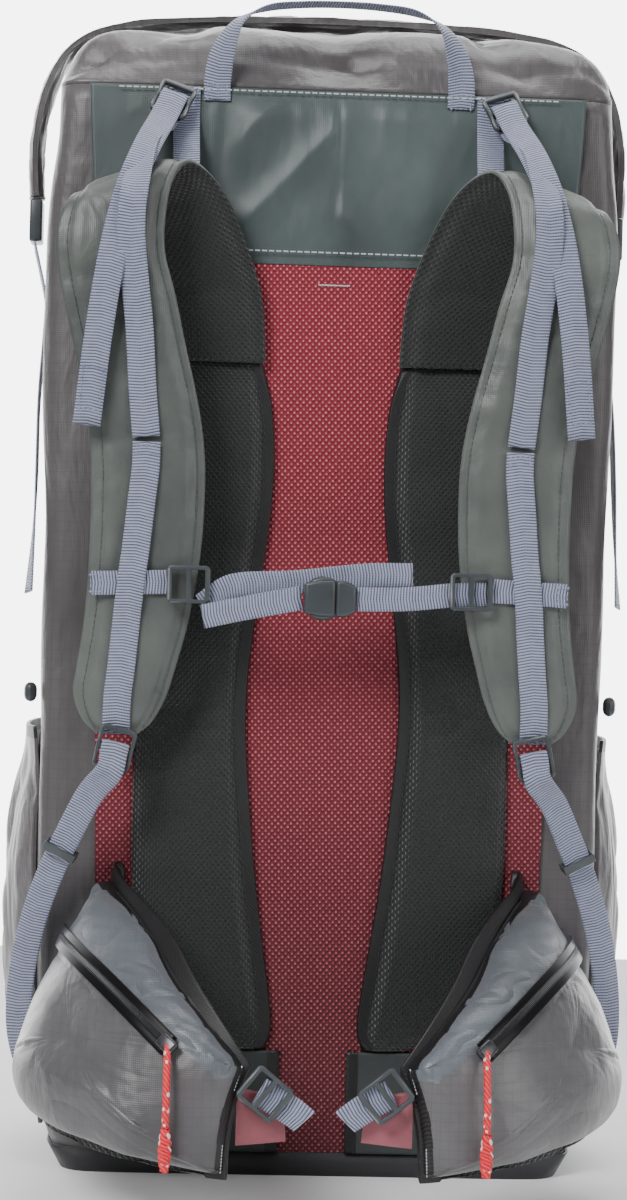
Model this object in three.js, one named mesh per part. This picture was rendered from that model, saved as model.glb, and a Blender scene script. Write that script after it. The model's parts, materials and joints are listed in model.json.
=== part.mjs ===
// A hiking backpack of medium size, standing on its base. Millimetres, +Z up, harness side facing -Y.
// The cloth body is a hollow shell with a flat back. On that back lie the panels and pads, and the
// shoulder straps, hip belt and webbing are sewn over them. The origin is the middle of the base.

import * as THREE from "three";

// Driving sizes

const BAG_WIDTH = 346;
const BAG_DEPTH = 220;
const MOUTH_HEIGHT = 650;
const COLLAR_RISE = 56;
const CLOTH = 2;
const BASE_CLOTH = 2.5;
const BASE_HEM = 14;
const BACK_CORNER = 18;
const FRONT_CORNER = 84;
const GAP = 0.3;

const LIP_WIDTH = 44;
const LIP_THICK = 13;
const LIP_DROP = 54;

const UPPER_PANEL_HEIGHT = 105;
const UPPER_PANEL_HALF = 149;
const PUCKER = 2.5;
const MESH_PANEL_HALF = 143;

const PAD_DROP = 167;
const PAD_FOOT = 76;
const PAD_THICK = 14;
const PAD_REACH = 112;

const STRAP_WIDTH = 66;
const STRAP_THICK = 12;
const STRAP_DROP = 62;
const STRAP_TIP = 264;
const STRAP_REACH = 54;

const WEBBING_WIDTH = 16;
const WEBBING_THICK = 1.5;
const BUCKLE_WIDTH = 22;
const BUCKLE_LENGTH = 25;
const BUCKLE_THICK = 3.5;
const BAR = 3;

const STERNUM_HEIGHT = 350;
const STERNUM_WIDTH = 14;
const STERNUM_BUCKLE_LENGTH = 30;
const STERNUM_BUCKLE_HEIGHT = 21;
const STERNUM_BUCKLE_THICK = 9;

const BELT_THICK = 8;
const BELT_TOP = 185;
const BELT_REACH = 158;
const BELT_WIDTH = 160;
const HIP_POCKET_BULGE = 20;
const ZIP_WIDTH = 9;
const ZIP_THICK = 1;

const SIDE_POCKET_TOP = 264;
const SIDE_POCKET_FOOT = 24;
const SIDE_POCKET_BULGE = 22;

const PULL_DIAMETER = 4;
const KNOT_LENGTH = 22;

// Worked-out sizes

const BACK_Y = -BAG_DEPTH / 2;
const BAG_HALF = BAG_WIDTH / 2;
const PANEL_FACE = BACK_Y - GAP - CLOTH;
const WEB_LIFT = 0.45 + WEBBING_THICK / 2;
// What hangs from the top seam keeps its distance below the mouth.
const LIP_END_HEIGHT = MOUTH_HEIGHT - LIP_DROP;
const UPPER_PANEL_FOOT = MOUTH_HEIGHT - UPPER_PANEL_HEIGHT;
const PAD_TOP = MOUTH_HEIGHT - PAD_DROP;
const STRAP_TOP = MOUTH_HEIGHT - STRAP_DROP;

// Colours and finishes, as the cloth and plastic of the real pack

const FINISHES = {
  ripstop: { color: 0x77787d, roughness: 0.55 },
  green_grey: { color: 0x6f7a79, roughness: 0.6 },
  black_mesh: { color: 0x1d2121, roughness: 0.9 },
  red_mesh: { color: 0xa9283c, roughness: 0.85 },
  webbing: { color: 0xa3a6bd, roughness: 0.7 },
  black_cloth: { color: 0x1f1f23, roughness: 0.8 },
  buckle: { color: 0x6b6f73, roughness: 0.45 },
  zip: { color: 0x151518, roughness: 0.25 },
  red_cord: { color: 0xd8273a, roughness: 0.7 },
};
const materials = Object.fromEntries(
  Object.entries(FINISHES).map(([name, look]) => [
    name,
    new THREE.MeshStandardMaterial({ ...look, metalness: 0 }),
  ]),
);

const pack = new THREE.Group();

function add(name, geometry, finish) {
  const mesh = new THREE.Mesh(geometry, materials[finish]);
  mesh.name = name;
  pack.add(mesh);
}

// A piece that both sides have: made for the right, and mirrored for the left.
function addPair(name, geometry, finish) {
  add(`${name}_right`, geometry, finish);
  const other = (geometry.index ? geometry.toNonIndexed() : geometry.clone()).scale(-1, 1, 1);
  const { array } = other.attributes.position;
  for (let i = 0; i < array.length; i += 9) {
    for (let k = 0; k < 3; k += 1) {
      [array[i + 3 + k], array[i + 6 + k]] = [array[i + 6 + k], array[i + 3 + k]];
    }
  }
  other.computeVertexNormals();
  add(`${name}_left`, other, finish);
}

// Making closed solids

const point = (x, y, z) => new THREE.Vector3(x, y, z);
const mirrored = (p) => point(-p.x, p.y, p.z);
const mix = (a, b, t) => a + (b - a) * t;

// One closed mesh from points and faces, turned so that its faces point outwards.
function solid(points, faces) {
  let volume = 0;
  for (const [a, b, c] of faces) {
    volume += points[a].dot(points[b].clone().cross(points[c]));
  }
  const turned = volume < 0 ? faces.map(([a, b, c]) => [a, c, b]) : faces;
  const geometry = new THREE.BufferGeometry();
  geometry.setAttribute(
    "position",
    new THREE.Float32BufferAttribute(points.flatMap((p) => p.toArray()), 3),
  );
  geometry.setIndex(turned.flat());
  geometry.computeVertexNormals();
  return geometry;
}

// A solid through rings of equal count, closed at both ends by a fan.
function loft(rings) {
  const count = rings[0].length;
  const points = rings.flat();
  const faces = [];
  for (let i = 0; i + 1 < rings.length; i += 1) {
    for (let j = 0; j < count; j += 1) {
      const next = (j + 1) % count;
      const [a, b] = [i * count + j, i * count + next];
      faces.push([a, b, b + count], [a, b + count, a + count]);
    }
  }
  for (const [row, flip] of [[0, true], [rings.length - 1, false]]) {
    const centre = rings[row].reduce((sum, p) => sum.add(p), point(0, 0, 0));
    points.push(centre.divideScalar(count));
    const hub = points.length - 1;
    for (let j = 0; j < count; j += 1) {
      const [a, b] = [row * count + j, row * count + ((j + 1) % count)];
      faces.push(flip ? [hub, b, a] : [hub, a, b]);
    }
  }
  return solid(points, faces);
}

// A thin wall between two grids of the same rows and columns.
function wall(outer, inner) {
  const rows = outer.length;
  const columns = outer[0].length;
  const size = rows * columns;
  const points = [...outer.flat(), ...inner.flat()];
  const at = (i, j) => i * columns + j;
  const faces = [];
  const quad = (a, b, c, d) => faces.push([a, b, c], [a, c, d]);
  for (let i = 0; i + 1 < rows; i += 1) {
    for (let j = 0; j + 1 < columns; j += 1) {
      const [a, b, c, d] = [at(i, j), at(i, j + 1), at(i + 1, j + 1), at(i + 1, j)];
      quad(a, b, c, d);
      faces.push([size + c, size + b, size + a], [size + d, size + c, size + a]);
    }
  }
  const rim = [];
  for (let j = 0; j + 1 < columns; j += 1) rim.push(at(0, j));
  for (let i = 0; i + 1 < rows; i += 1) rim.push(at(i, columns - 1));
  for (let j = columns - 1; j > 0; j -= 1) rim.push(at(rows - 1, j));
  for (let i = rows - 1; i > 0; i -= 1) rim.push(at(i, 0));
  rim.forEach((a, k) => {
    const b = rim[(k + 1) % rim.length];
    quad(b, a, size + a, size + b);
  });
  return solid(points, faces);
}

// A flat band along a path. Each row of the path has its place and the way its face looks.
function band(path, width, thick) {
  const face = (side) =>
    path.map((row, i) => {
      const before = path[Math.max(i - 1, 0)].at;
      const after = path[Math.min(i + 1, path.length - 1)].at;
      const along = after.clone().sub(before).normalize();
      const across = along.clone().cross(row.face).normalize();
      const out = across.clone().cross(along).normalize();
      const middle = row.at.clone().addScaledVector(out, (side * thick) / 2);
      return [-1, 1].map((edge) => middle.clone().addScaledVector(across, (edge * width) / 2));
    });
  return wall(face(1), face(-1));
}

// The same path with smooth steps added between its rows.
function smoothed(path, steps) {
  const places = new THREE.CatmullRomCurve3(path.map((row) => row.at), false, "centripetal");
  const faces = new THREE.CatmullRomCurve3(path.map((row) => row.face), false, "centripetal");
  return Array.from({ length: steps + 1 }, (_, k) => ({
    at: places.getPoint(k / steps),
    face: faces.getPoint(k / steps).normalize(),
  }));
}

// The value of one column of a table at a height, straight between its rows.
function lookUp(table, key, value, column) {
  const rows = table[0][key] < table[table.length - 1][key] ? table : [...table].reverse();
  if (value <= rows[0][key]) return rows[0][column];
  for (let i = 1; i < rows.length; i += 1) {
    if (value <= rows[i][key]) {
      const share = (value - rows[i - 1][key]) / (rows[i][key] - rows[i - 1][key]);
      return mix(rows[i - 1][column], rows[i][column], share);
    }
  }
  return rows[rows.length - 1][column];
}

// Bag shell: the outline at each height, with the slack cloth's dents between the seams.
// up is a share of the mouth height, wide and front are shares of half the width and depth.

const BAG_ROWS = [
  { up: 0.0, wide: 0.86, front: 0.78 },
  { up: 0.03, wide: 0.94, front: 0.93 },
  { up: 0.1, wide: 0.97, front: 1.02 },
  { up: 0.2, wide: 0.985, front: 1.05 },
  { up: 0.3, wide: 0.995, front: 1.04 },
  { up: 0.4, wide: 0.985, front: 1.06 },
  { up: 0.5, wide: 1.0, front: 1.04 },
  { up: 0.6, wide: 0.99, front: 1.05 },
  { up: 0.7, wide: 1.015, front: 1.02 },
  { up: 0.8, wide: 1.01, front: 1.03 },
  { up: 0.88, wide: 1.02, front: 0.98 },
  { up: 0.94, wide: 0.985, front: 0.96 },
  { up: 1.0, wide: 0.97, front: 0.9 },
];
const BAG_FOOT = BASE_CLOTH + GAP;

function bagSection(z) {
  const up = (z - BAG_FOOT) / (MOUTH_HEIGHT - BAG_FOOT);
  return {
    half: BAG_HALF * lookUp(BAG_ROWS, "up", up, "wide"),
    front: (BAG_DEPTH / 2) * lookUp(BAG_ROWS, "up", up, "front"),
  };
}

// The four corners in turn, with the steps round each and the steps along the side that follows it.
const BAG_CORNERS = [
  { right: 1, front: -1, from: -90, steps: 3, along: 3 },
  { right: 1, front: 1, from: 0, steps: 5, along: 4 },
  { right: -1, front: 1, from: 90, steps: 5, along: 3 },
  { right: -1, front: -1, from: 180, steps: 3, along: 5 },
];
const FRONT_CROWN = 9;

function cornerPoint(section, corner, degrees, out) {
  const radius = corner.front < 0 ? BACK_CORNER : FRONT_CORNER;
  const angle = THREE.MathUtils.degToRad(degrees);
  const x = corner.right * (section.half - radius);
  const y = corner.front < 0 ? BACK_Y + radius : section.front - radius;
  return new THREE.Vector2(
    x + (radius + out) * Math.cos(angle),
    y + (radius + out) * Math.sin(angle),
  );
}

// The bag's outline at a height, grown outwards by a distance.
function bagRing(z, out) {
  const section = bagSection(z);
  const ring = [];
  BAG_CORNERS.forEach((corner, i) => {
    const next = BAG_CORNERS[(i + 1) % BAG_CORNERS.length];
    for (let k = 0; k <= corner.steps; k += 1) {
      ring.push(cornerPoint(section, corner, corner.from + (90 * k) / corner.steps, out));
    }
    const start = ring[ring.length - 1];
    const end = cornerPoint(section, next, next.from, out);
    const crown = corner.front > 0 && next.front > 0 ? FRONT_CROWN : 0;
    for (let k = 1; k < corner.along; k += 1) {
      const share = k / corner.along;
      const p = start.clone().lerp(end, share);
      p.y += crown * Math.sin(Math.PI * share);
      ring.push(p);
    }
  });
  return ring.map((p) => point(p.x, p.y, z));
}

const bagHeights = BAG_ROWS.map((row) => mix(BAG_FOOT, MOUTH_HEIGHT, row.up));
const bagInside = bagHeights.map((z, i) => (i === 0 ? z + CLOTH : z));
add(
  "bag_shell",
  loft([
    ...bagHeights.map((z) => bagRing(z, 0)),
    ...bagInside.reverse().map((z) => bagRing(z, -CLOTH)),
  ]),
  "ripstop",
);

// Base panel: a shallow tray of heavier cloth round the foot of the shell.

const baseRing = (z, out) => bagRing(Math.max(z, BAG_FOOT), out).map((p) => p.setZ(z));

add(
  "base_panel",
  loft([
    ...[0, BASE_HEM].map((z) => baseRing(z, GAP + CLOTH)),
    ...[BASE_HEM, BASE_CLOTH].map((z) => baseRing(z, 2 * GAP)),
  ]),
  "black_cloth",
);

// Top collar: thin cloth gathered over the mouth. rise is a share of its height, wide and deep are
// shares of the mouth's outline, and gather is how strongly the folds show in that row.

const COLLAR_ROWS = [
  { rise: 0.0, wide: 1.0, deep: 1.0, gather: 0.0 },
  { rise: 0.16, wide: 1.015, deep: 0.995, gather: 0.4 },
  { rise: 0.38, wide: 1.01, deep: 0.985, gather: 0.9 },
  { rise: 0.62, wide: 0.96, deep: 0.94, gather: 1.0 },
  { rise: 0.82, wide: 0.85, deep: 0.8, gather: 0.9 },
  { rise: 0.94, wide: 0.65, deep: 0.56, gather: 0.6 },
  { rise: 1.0, wide: 0.38, deep: 0.25, gather: 0.2 },
];
const COLLAR_GATHER = 3.4;
const GATHER_TURNS = [
  { every: 9, share: 0.6 },
  { every: 4, share: 0.4 },
];

function collarRing(row, inset) {
  const mouth = bagRing(MOUTH_HEIGHT, -inset);
  const z = MOUTH_HEIGHT + GAP + (COLLAR_RISE - inset) * row.rise;
  return mouth.map((p, j) => {
    const wave = GATHER_TURNS.reduce(
      (sum, turn) => sum + turn.share * Math.cos((2 * Math.PI * turn.every * j) / mouth.length),
      0,
    );
    const length = Math.hypot(p.x, p.y);
    const pull = 1 - (COLLAR_GATHER * row.gather * (1 - wave)) / 2 / length;
    return point(p.x * row.wide * pull, p.y * row.deep * pull, z);
  });
}

add(
  "top_collar",
  loft([
    ...[...COLLAR_ROWS].reverse().map((row) => collarRing(row, 0)),
    ...COLLAR_ROWS.map((row) => collarRing(row, CLOTH)),
  ]),
  "ripstop",
);

// Roll-top lip: the collar's rolled hem, bent over the top and clipped down at both sides.
// across is a share of half the bag's width, up of the way from the clipped end to the top.

const LIP_TOP = MOUTH_HEIGHT + COLLAR_RISE + 3 * GAP + LIP_THICK / 2;
const LIP_Y = 6;
const LIP_ROWS = [
  { across: 1.075, up: 0.0, swell: 0.6 },
  { across: 1.085, up: 0.2, swell: 0.85 },
  { across: 1.075, up: 0.42, swell: 1.0 },
  { across: 1.03, up: 0.68, swell: 1.0 },
  { across: 0.93, up: 0.88, swell: 1.05 },
  { across: 0.74, up: 0.955, swell: 0.95 },
  { across: 0.5, up: 0.985, swell: 1.0 },
  { across: 0.25, up: 1.0, swell: 0.92 },
];
const LIP_SIDES = 8;

function lipPath() {
  const right = LIP_ROWS.map((row) => ({
    at: point(BAG_HALF * row.across, LIP_Y, mix(LIP_END_HEIGHT, LIP_TOP, row.up)),
    swell: row.swell,
  }));
  const middle = { at: point(0, LIP_Y, LIP_TOP), swell: 1 };
  const left = right.map((row) => ({ ...row, at: mirrored(row.at) })).reverse();
  return [...right, middle, ...left];
}

function lipSolid() {
  const path = lipPath();
  const rings = path.map((row, i) => {
    const before = path[Math.max(i - 1, 0)].at;
    const after = path[Math.min(i + 1, path.length - 1)].at;
    const along = after.clone().sub(before).normalize();
    const outward = along.clone().cross(point(0, 1, 0)).normalize();
    return Array.from({ length: LIP_SIDES }, (_, k) => {
      const angle = (2 * Math.PI * (k + 0.5)) / LIP_SIDES;
      return row.at
        .clone()
        .addScaledVector(point(0, 1, 0), (LIP_WIDTH / 2) * row.swell * Math.cos(angle))
        .addScaledVector(outward, (LIP_THICK / 2) * Math.sin(angle));
    });
  });
  return loft(rings);
}

add("roll_top_lip", lipSolid(), "ripstop");

// A place on the bag's back at a distance across and a height, lifted off the cloth.
function onBack(x, z, out) {
  const edge = bagSection(z).half - BACK_CORNER;
  const past = Math.max(Math.abs(x) - edge, 0) / BACK_CORNER;
  const angle = Math.asin(Math.min(past, 1));
  return point(
    x + Math.sign(x) * Math.sin(angle) * out,
    BACK_Y + BACK_CORNER * (1 - Math.cos(angle)) - Math.cos(angle) * out,
    z,
  );
}

// Upper back panel: smooth cloth between the top seam and the mesh, puckered under the seam.

const PANEL_COLUMNS = 16;
const PANEL_ROWS = [
  { up: 0.0, half: 0.95, pucker: 0.0 },
  { up: 0.06, half: 0.955, pucker: 0.3 },
  { up: 0.3, half: 0.97, pucker: 0.5 },
  { up: 0.6, half: 0.985, pucker: 0.8 },
  { up: 0.85, half: 0.995, pucker: 1.0 },
  { up: 1.0, half: 1.0, pucker: 0.15 },
];
const PUCKERS = 6;

function panelLift(across, up) {
  const swell = 0.5 + 0.5 * Math.cos(Math.PI * PUCKERS * across + 2 * up);
  return PUCKER * lookUp(PANEL_ROWS, "up", up, "pucker") * swell * (1 - across ** 6);
}

function upperPanel(out, folded) {
  return PANEL_ROWS.map((row) => {
    const z = mix(UPPER_PANEL_FOOT + GAP, MOUTH_HEIGHT, row.up);
    return Array.from({ length: PANEL_COLUMNS + 1 }, (_, j) => {
      const across = (2 * j) / PANEL_COLUMNS - 1;
      const lift = folded * panelLift(across, row.up);
      return onBack(across * UPPER_PANEL_HALF * row.half, z, out + lift);
    });
  });
}

// A place for webbing sewn on the upper panel, just off its folds.
function onPanel(x, z) {
  const up = (z - UPPER_PANEL_FOOT) / (MOUTH_HEIGHT - UPPER_PANEL_FOOT);
  return onBack(x, z, GAP + CLOTH + panelLift(x / UPPER_PANEL_HALF, up) + WEB_LIFT);
}

add("upper_back_panel", wall(upperPanel(GAP + CLOTH, 1), upperPanel(GAP, 0)), "green_grey");

// Back mesh panel: spacer mesh from the base up to the upper panel, narrower at the foot.

const MESH_PANEL_FOOT_SHARE = 0.9;

function meshPanel(y) {
  return [0, 1].map((up) => {
    const z = mix(BASE_HEM + GAP, UPPER_PANEL_FOOT, up);
    const half = MESH_PANEL_HALF * mix(MESH_PANEL_FOOT_SHARE, 1, up);
    return [-half, 0, half].map((x) => point(x, y, z));
  });
}

add("back_mesh_panel", wall(meshPanel(PANEL_FACE), meshPanel(BACK_Y - GAP)), "red_mesh");

// Back pads: contoured foam under air mesh, with a slanting crease between back and lumbar part.
// up is a share of the pad's height, inner and outer of its reach, full of its thickness.

const PAD_ROWS = [
  { up: 0.0, inner: 0.26, outer: 0.5, full: 0.3 },
  { up: 0.025, inner: 0.22, outer: 0.7, full: 0.75 },
  { up: 0.07, inner: 0.24, outer: 0.86, full: 0.95 },
  { up: 0.135, inner: 0.275, outer: 0.96, full: 1.0 },
  { up: 0.255, inner: 0.34, outer: 1.0, full: 1.0 },
  { up: 0.37, inner: 0.38, outer: 1.0, full: 0.98 },
  { up: 0.43, inner: 0.4, outer: 1.0, full: 0.95 },
  { up: 0.485, inner: 0.41, outer: 1.0, full: 0.95 },
  { up: 0.53, inner: 0.405, outer: 1.0, full: 0.95 },
  { up: 0.59, inner: 0.39, outer: 1.0, full: 0.97 },
  { up: 0.71, inner: 0.335, outer: 1.0, full: 1.0 },
  { up: 0.81, inner: 0.29, outer: 1.0, full: 1.0 },
  { up: 0.91, inner: 0.295, outer: 1.0, full: 1.0 },
  { up: 0.975, inner: 0.33, outer: 0.98, full: 0.8 },
  { up: 1.0, inner: 0.38, outer: 0.92, full: 0.3 },
];
const PAD_COLUMNS = [0, 0.06, 0.2, 0.4, 0.6, 0.8, 0.94, 1];
const PAD_BACK = PANEL_FACE - GAP;
const CREASE = { inner: 0.56, outer: 0.45, depth: 0.4, width: 0.035 };

function padGrid(front) {
  return PAD_ROWS.map((row) =>
    PAD_COLUMNS.map((across) => {
      const x = PAD_REACH * mix(row.inner, row.outer, across);
      const z = mix(PAD_FOOT, PAD_TOP, row.up);
      if (!front) return point(x, PAD_BACK, z);
      const edge = Math.min(1, 0.35 + 1.4 * Math.sqrt(across * (1 - across)));
      const from = (row.up - mix(CREASE.inner, CREASE.outer, across)) / CREASE.width;
      const dent = 1 - CREASE.depth * Math.exp(-from * from);
      return point(x, PAD_BACK - PAD_THICK * row.full * edge * dent, z);
    }),
  );
}

addPair("back_pad", wall(padGrid(true), padGrid(false)), "black_mesh");

// Lumbar panels: flat cloth below each pad, down to the base.

const LUMBAR_INNER = 0.18;
const LUMBAR_OUTER = 0.86;

function lumbarPanel(y) {
  return [BASE_HEM + GAP, PAD_FOOT - 4 * GAP].map((z) =>
    [LUMBAR_INNER, LUMBAR_OUTER].map((share) => point(PAD_REACH * share, y, z)),
  );
}

addPair("lumbar_panel", wall(lumbarPanel(PAD_BACK - CLOTH), lumbarPanel(PAD_BACK)), "green_grey");

// Shoulder straps: each rises from the top of its pad, arches over and comes down in front.
// across is a share of half the bag's width, out of the reach, half of half the strap's width,
// up of the rise or of the fall, and lean is the tilt of the strap's width in degrees.

const RISING = [
  { across: 0.422, out: 0.0, up: 0.0, half: 1.0, full: 0.9, lean: 0 },
  { across: 0.428, out: 0.01, up: 0.2, half: 1.0, full: 1.0, lean: 0 },
  { across: 0.45, out: 0.05, up: 0.4, half: 1.03, full: 1.0, lean: -2 },
  { across: 0.5, out: 0.13, up: 0.63, half: 1.03, full: 1.0, lean: -7 },
  { across: 0.565, out: 0.27, up: 0.84, half: 1.03, full: 1.0, lean: -14 },
  { across: 0.636, out: 0.46, up: 0.965, half: 1.03, full: 1.0, lean: -18 },
];
const FALLING = [
  { across: 0.7, out: 0.69, up: 1.0, half: 1.0, full: 1.0, lean: -19 },
  { across: 0.742, out: 0.88, up: 0.968, half: 0.95, full: 1.0, lean: -14 },
  { across: 0.763, out: 0.98, up: 0.915, half: 0.94, full: 1.0, lean: -6 },
  { across: 0.763, out: 1.0, up: 0.86, half: 0.95, full: 1.02, lean: 0 },
  { across: 0.734, out: 0.98, up: 0.79, half: 1.0, full: 0.98, lean: 2 },
  { across: 0.694, out: 0.94, up: 0.7, half: 1.0, full: 1.0, lean: 3 },
  { across: 0.653, out: 0.91, up: 0.61, half: 1.0, full: 1.0, lean: 2 },
  { across: 0.627, out: 0.87, up: 0.53, half: 1.0, full: 0.92, lean: 1 },
  { across: 0.618, out: 0.84, up: 0.45, half: 1.0, full: 1.0, lean: 0 },
  { across: 0.622, out: 0.8, up: 0.33, half: 0.98, full: 1.0, lean: -2 },
  { across: 0.644, out: 0.76, up: 0.21, half: 0.93, full: 0.94, lean: -3 },
  { across: 0.676, out: 0.74, up: 0.12, half: 0.88, full: 1.0, lean: -3 },
  { across: 0.695, out: 0.72, up: 0.07, half: 0.82, full: 0.92, lean: 0 },
  { across: 0.7, out: 0.7, up: 0.025, half: 0.62, full: 0.75, lean: 0 },
  { across: 0.7, out: 0.69, up: 0.0, half: 0.36, full: 0.5, lean: 0 },
];
const STRAP_SECTION = [
  { w: -1, n: 0 },
  { w: -0.9, n: 0.78 },
  { w: -0.68, n: 1 },
  { w: 0.68, n: 1 },
  { w: 0.9, n: 0.78 },
  { w: 1, n: 0 },
  { w: 0.9, n: -0.78 },
  { w: 0.68, n: -1 },
  { w: -0.68, n: -1 },
  { w: -0.9, n: -0.78 },
];
const ANCHOR_HEIGHT = PAD_TOP + 8 * GAP;
const ANCHOR_Y = PANEL_FACE - GAP - STRAP_THICK / 2;

// Where the middle of the strap is in each row, and which ways its width and its outer face look.
function strapFrames() {
  const place = (row, foot) =>
    point(
      BAG_HALF * row.across,
      ANCHOR_Y - (STRAP_REACH - STRAP_THICK / 2) * row.out,
      mix(foot, STRAP_TOP, row.up),
    );
  const rows = [
    ...RISING.map((row) => ({ row, at: place(row, ANCHOR_HEIGHT) })),
    ...FALLING.map((row) => ({ row, at: place(row, STRAP_TIP) })),
  ];
  return rows.map(({ row, at }, i) => {
    const before = rows[Math.max(i - 1, 0)].at;
    const after = rows[Math.min(i + 1, rows.length - 1)].at;
    const along = after.clone().sub(before).normalize();
    const lean = THREE.MathUtils.degToRad(row.lean);
    const level = point(Math.cos(lean), 0, Math.sin(lean));
    return {
      at,
      face: along.clone().cross(level).normalize(),
      width: level,
      half: (STRAP_WIDTH / 2) * row.half,
      thick: STRAP_THICK * row.full,
    };
  });
}

const strap = strapFrames();
const fall = strap.slice(RISING.length);

function strapSolid() {
  const rings = strap.map((frame) =>
    STRAP_SECTION.map(({ w, n }) =>
      frame.at
        .clone()
        .addScaledVector(frame.width, frame.half * w)
        .addScaledVector(frame.face, (frame.thick / 2) * n),
    ),
  );
  return loft(rings);
}

// A place on the outer face of the falling run at a height, with across from -1 (inner) to 1 (outer).
function onStrap(z, across, out) {
  const i = Math.max(
    1,
    fall.findIndex((frame) => frame.at.z <= z),
  );
  const [a, b] = [fall[i - 1], fall[i]];
  const share = (z - a.at.z) / (b.at.z - a.at.z);
  const spot = (frame) =>
    frame.at
      .clone()
      .addScaledVector(frame.width, frame.half * across)
      .addScaledVector(frame.face, frame.thick / 2 + out);
  return { at: spot(a).lerp(spot(b), share), face: a.face.clone().lerp(b.face, share) };
}

addPair("shoulder_strap", strapSolid(), "green_grey");

// Ladder-lock buckles: a frame with a middle bar that the webbing passes round.
// at is the middle of that bar, up runs along the webbing, and face looks out of the buckle.

const WINDOW_WIDTH = WEBBING_WIDTH + 4 * GAP;
const WINDOW_HEIGHT = (BUCKLE_LENGTH - 3 * BAR) / 2;
const BUCKLE_CORNER = 4;

function rectangle(path, x0, y0, x1, y1) {
  path.moveTo(x0, y0);
  path.lineTo(x1, y0);
  path.lineTo(x1, y1);
  path.lineTo(x0, y1);
  path.closePath();
  return path;
}

function ladderLock({ at, up, face }) {
  const [w, h, c] = [BUCKLE_WIDTH / 2, BUCKLE_LENGTH / 2, BUCKLE_CORNER];
  const outline = new THREE.Shape(
    [
      [-w + c, -h],
      [w - c, -h],
      [w, -h + c],
      [w, h - c],
      [w - c, h],
      [-w + c, h],
      [-w, h - c],
      [-w, -h + c],
    ].map(([x, y]) => new THREE.Vector2(x, y)),
  );
  for (const side of [-1, 1]) {
    const near = (side * BAR) / 2;
    const far = side * (BAR / 2 + WINDOW_HEIGHT);
    const [low, high] = [Math.min(near, far), Math.max(near, far)];
    const half = WINDOW_WIDTH / 2;
    outline.holes.push(rectangle(new THREE.Path(), -half, low, half, high));
  }
  const geometry = new THREE.ExtrudeGeometry(outline, { depth: BUCKLE_THICK, bevelEnabled: false });
  geometry.translate(0, 0, -BUCKLE_THICK / 2);
  const y = up.clone().normalize();
  const x = y.clone().cross(face).normalize();
  const z = x.clone().cross(y).normalize();
  const turn = new THREE.Matrix4().makeBasis(x, y, z);
  turn.setPosition(at);
  return geometry.applyMatrix4(turn);
}

// The turn of a webbing round a buckle's middle bar: up the back, over the bar and down the front.
const WRAP = BUCKLE_THICK / 2 + GAP + WEBBING_THICK / 2;
const WRAP_TOP = BAR / 2 + GAP + WEBBING_THICK / 2;

function roundBar({ at, up, face }, reach) {
  const y = up.clone().normalize();
  const x = y.clone().cross(face).normalize();
  const z = x.clone().cross(y).normalize();
  const place = (along, out) => at.clone().addScaledVector(y, along).addScaledVector(z, out);
  return [
    { at: place(-reach, -WRAP - GAP), face: z.clone().negate() },
    { at: place(-BAR, -WRAP), face: z.clone().negate() },
    { at: place(WRAP_TOP, -WRAP), face: y.clone().sub(z) },
    { at: place(WRAP_TOP * 1.2, 0), face: y.clone() },
    { at: place(WRAP_TOP, WRAP), face: y.clone().add(z) },
    { at: place(-BAR, WRAP), face: z.clone() },
    { at: place(-reach, WRAP + GAP), face: z.clone() },
  ];
}

// Load lifters: webbing sewn to the strap, up to a buckle at the top seam, and its free tail.

const HANGER_X = 91;
const LIFTER_X = HANGER_X + WEBBING_WIDTH / 2;
const LIFTER_DROP = 10;
// A height on the falling run of the strap, from its tip (0) to its top (1).
const onFall = (up) => mix(STRAP_TIP, STRAP_TOP, up);
const hangerTop = onPanel(HANGER_X, MOUTH_HEIGHT - GAP);
const hangerLow = onPanel(HANGER_X, MOUTH_HEIGHT - 1.4 * WEBBING_WIDTH);
const apexFrame = strap[RISING.length - 1];
const hangerEnd = apexFrame.at
  .clone()
  .addScaledVector(apexFrame.width, -apexFrame.half * 0.66)
  .addScaledVector(apexFrame.face, apexFrame.thick / 2 + WEB_LIFT + GAP);

const hangerPath = smoothed(
  [
    { at: hangerTop, face: point(0, -1, 0) },
    { at: hangerLow.add(point(0, -3 * GAP, 0)), face: point(0, -1, 0) },
    { at: hangerTop.clone().lerp(hangerEnd, 0.82).add(point(0, 4 * GAP, 0)), face: point(0, -0.95, 0.3) },
    { at: hangerEnd, face: point(0, -0.8, 0.6) },
  ],
  7,
);

const lifterLock = {
  at: point(LIFTER_X, hangerTop.y - BUCKLE_LENGTH * 0.36, MOUTH_HEIGHT - LIFTER_DROP),
  up: point(-0.32, 0.5, 0.8),
  face: point(-0.1, -0.85, 0.5),
};
const LIFTER_ROOT = 0.534;
const LIFTER_CLEAR = 10;
const LIFTER_ROWS = [
  { up: LIFTER_ROOT, across: 0.0, clear: 0 },
  { up: 0.627, across: -0.08, clear: 0 },
  { up: 0.725, across: -0.24, clear: 0.1 },
  { up: 0.812, across: -0.34, clear: 0.3 },
  { up: 0.889, across: -0.38, clear: 0.6 },
  { up: 0.948, across: -0.4, clear: 0.9 },
];
// The free tail: across is a share of half the bag's width and out of the straps' reach.
const TAIL_ROWS = [
  { across: 0.653, out: 0.82, up: 1.056 },
  { across: 0.705, out: 1.11, up: 0.975 },
  { across: 0.751, out: 1.24, up: 0.867 },
  { across: 0.792, out: 1.24, up: 0.719 },
  { across: 0.827, out: 1.13, up: 0.549 },
];

// The webbing's face has to stay on one side all along, so the turn round the bar flips with it.
function threaded(up, lock, reach, down) {
  const turn = roundBar(lock, reach);
  return [
    ...up.map(({ at, face }) => ({ at, face: face.clone().negate() })),
    ...turn,
    ...down,
  ];
}

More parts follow.
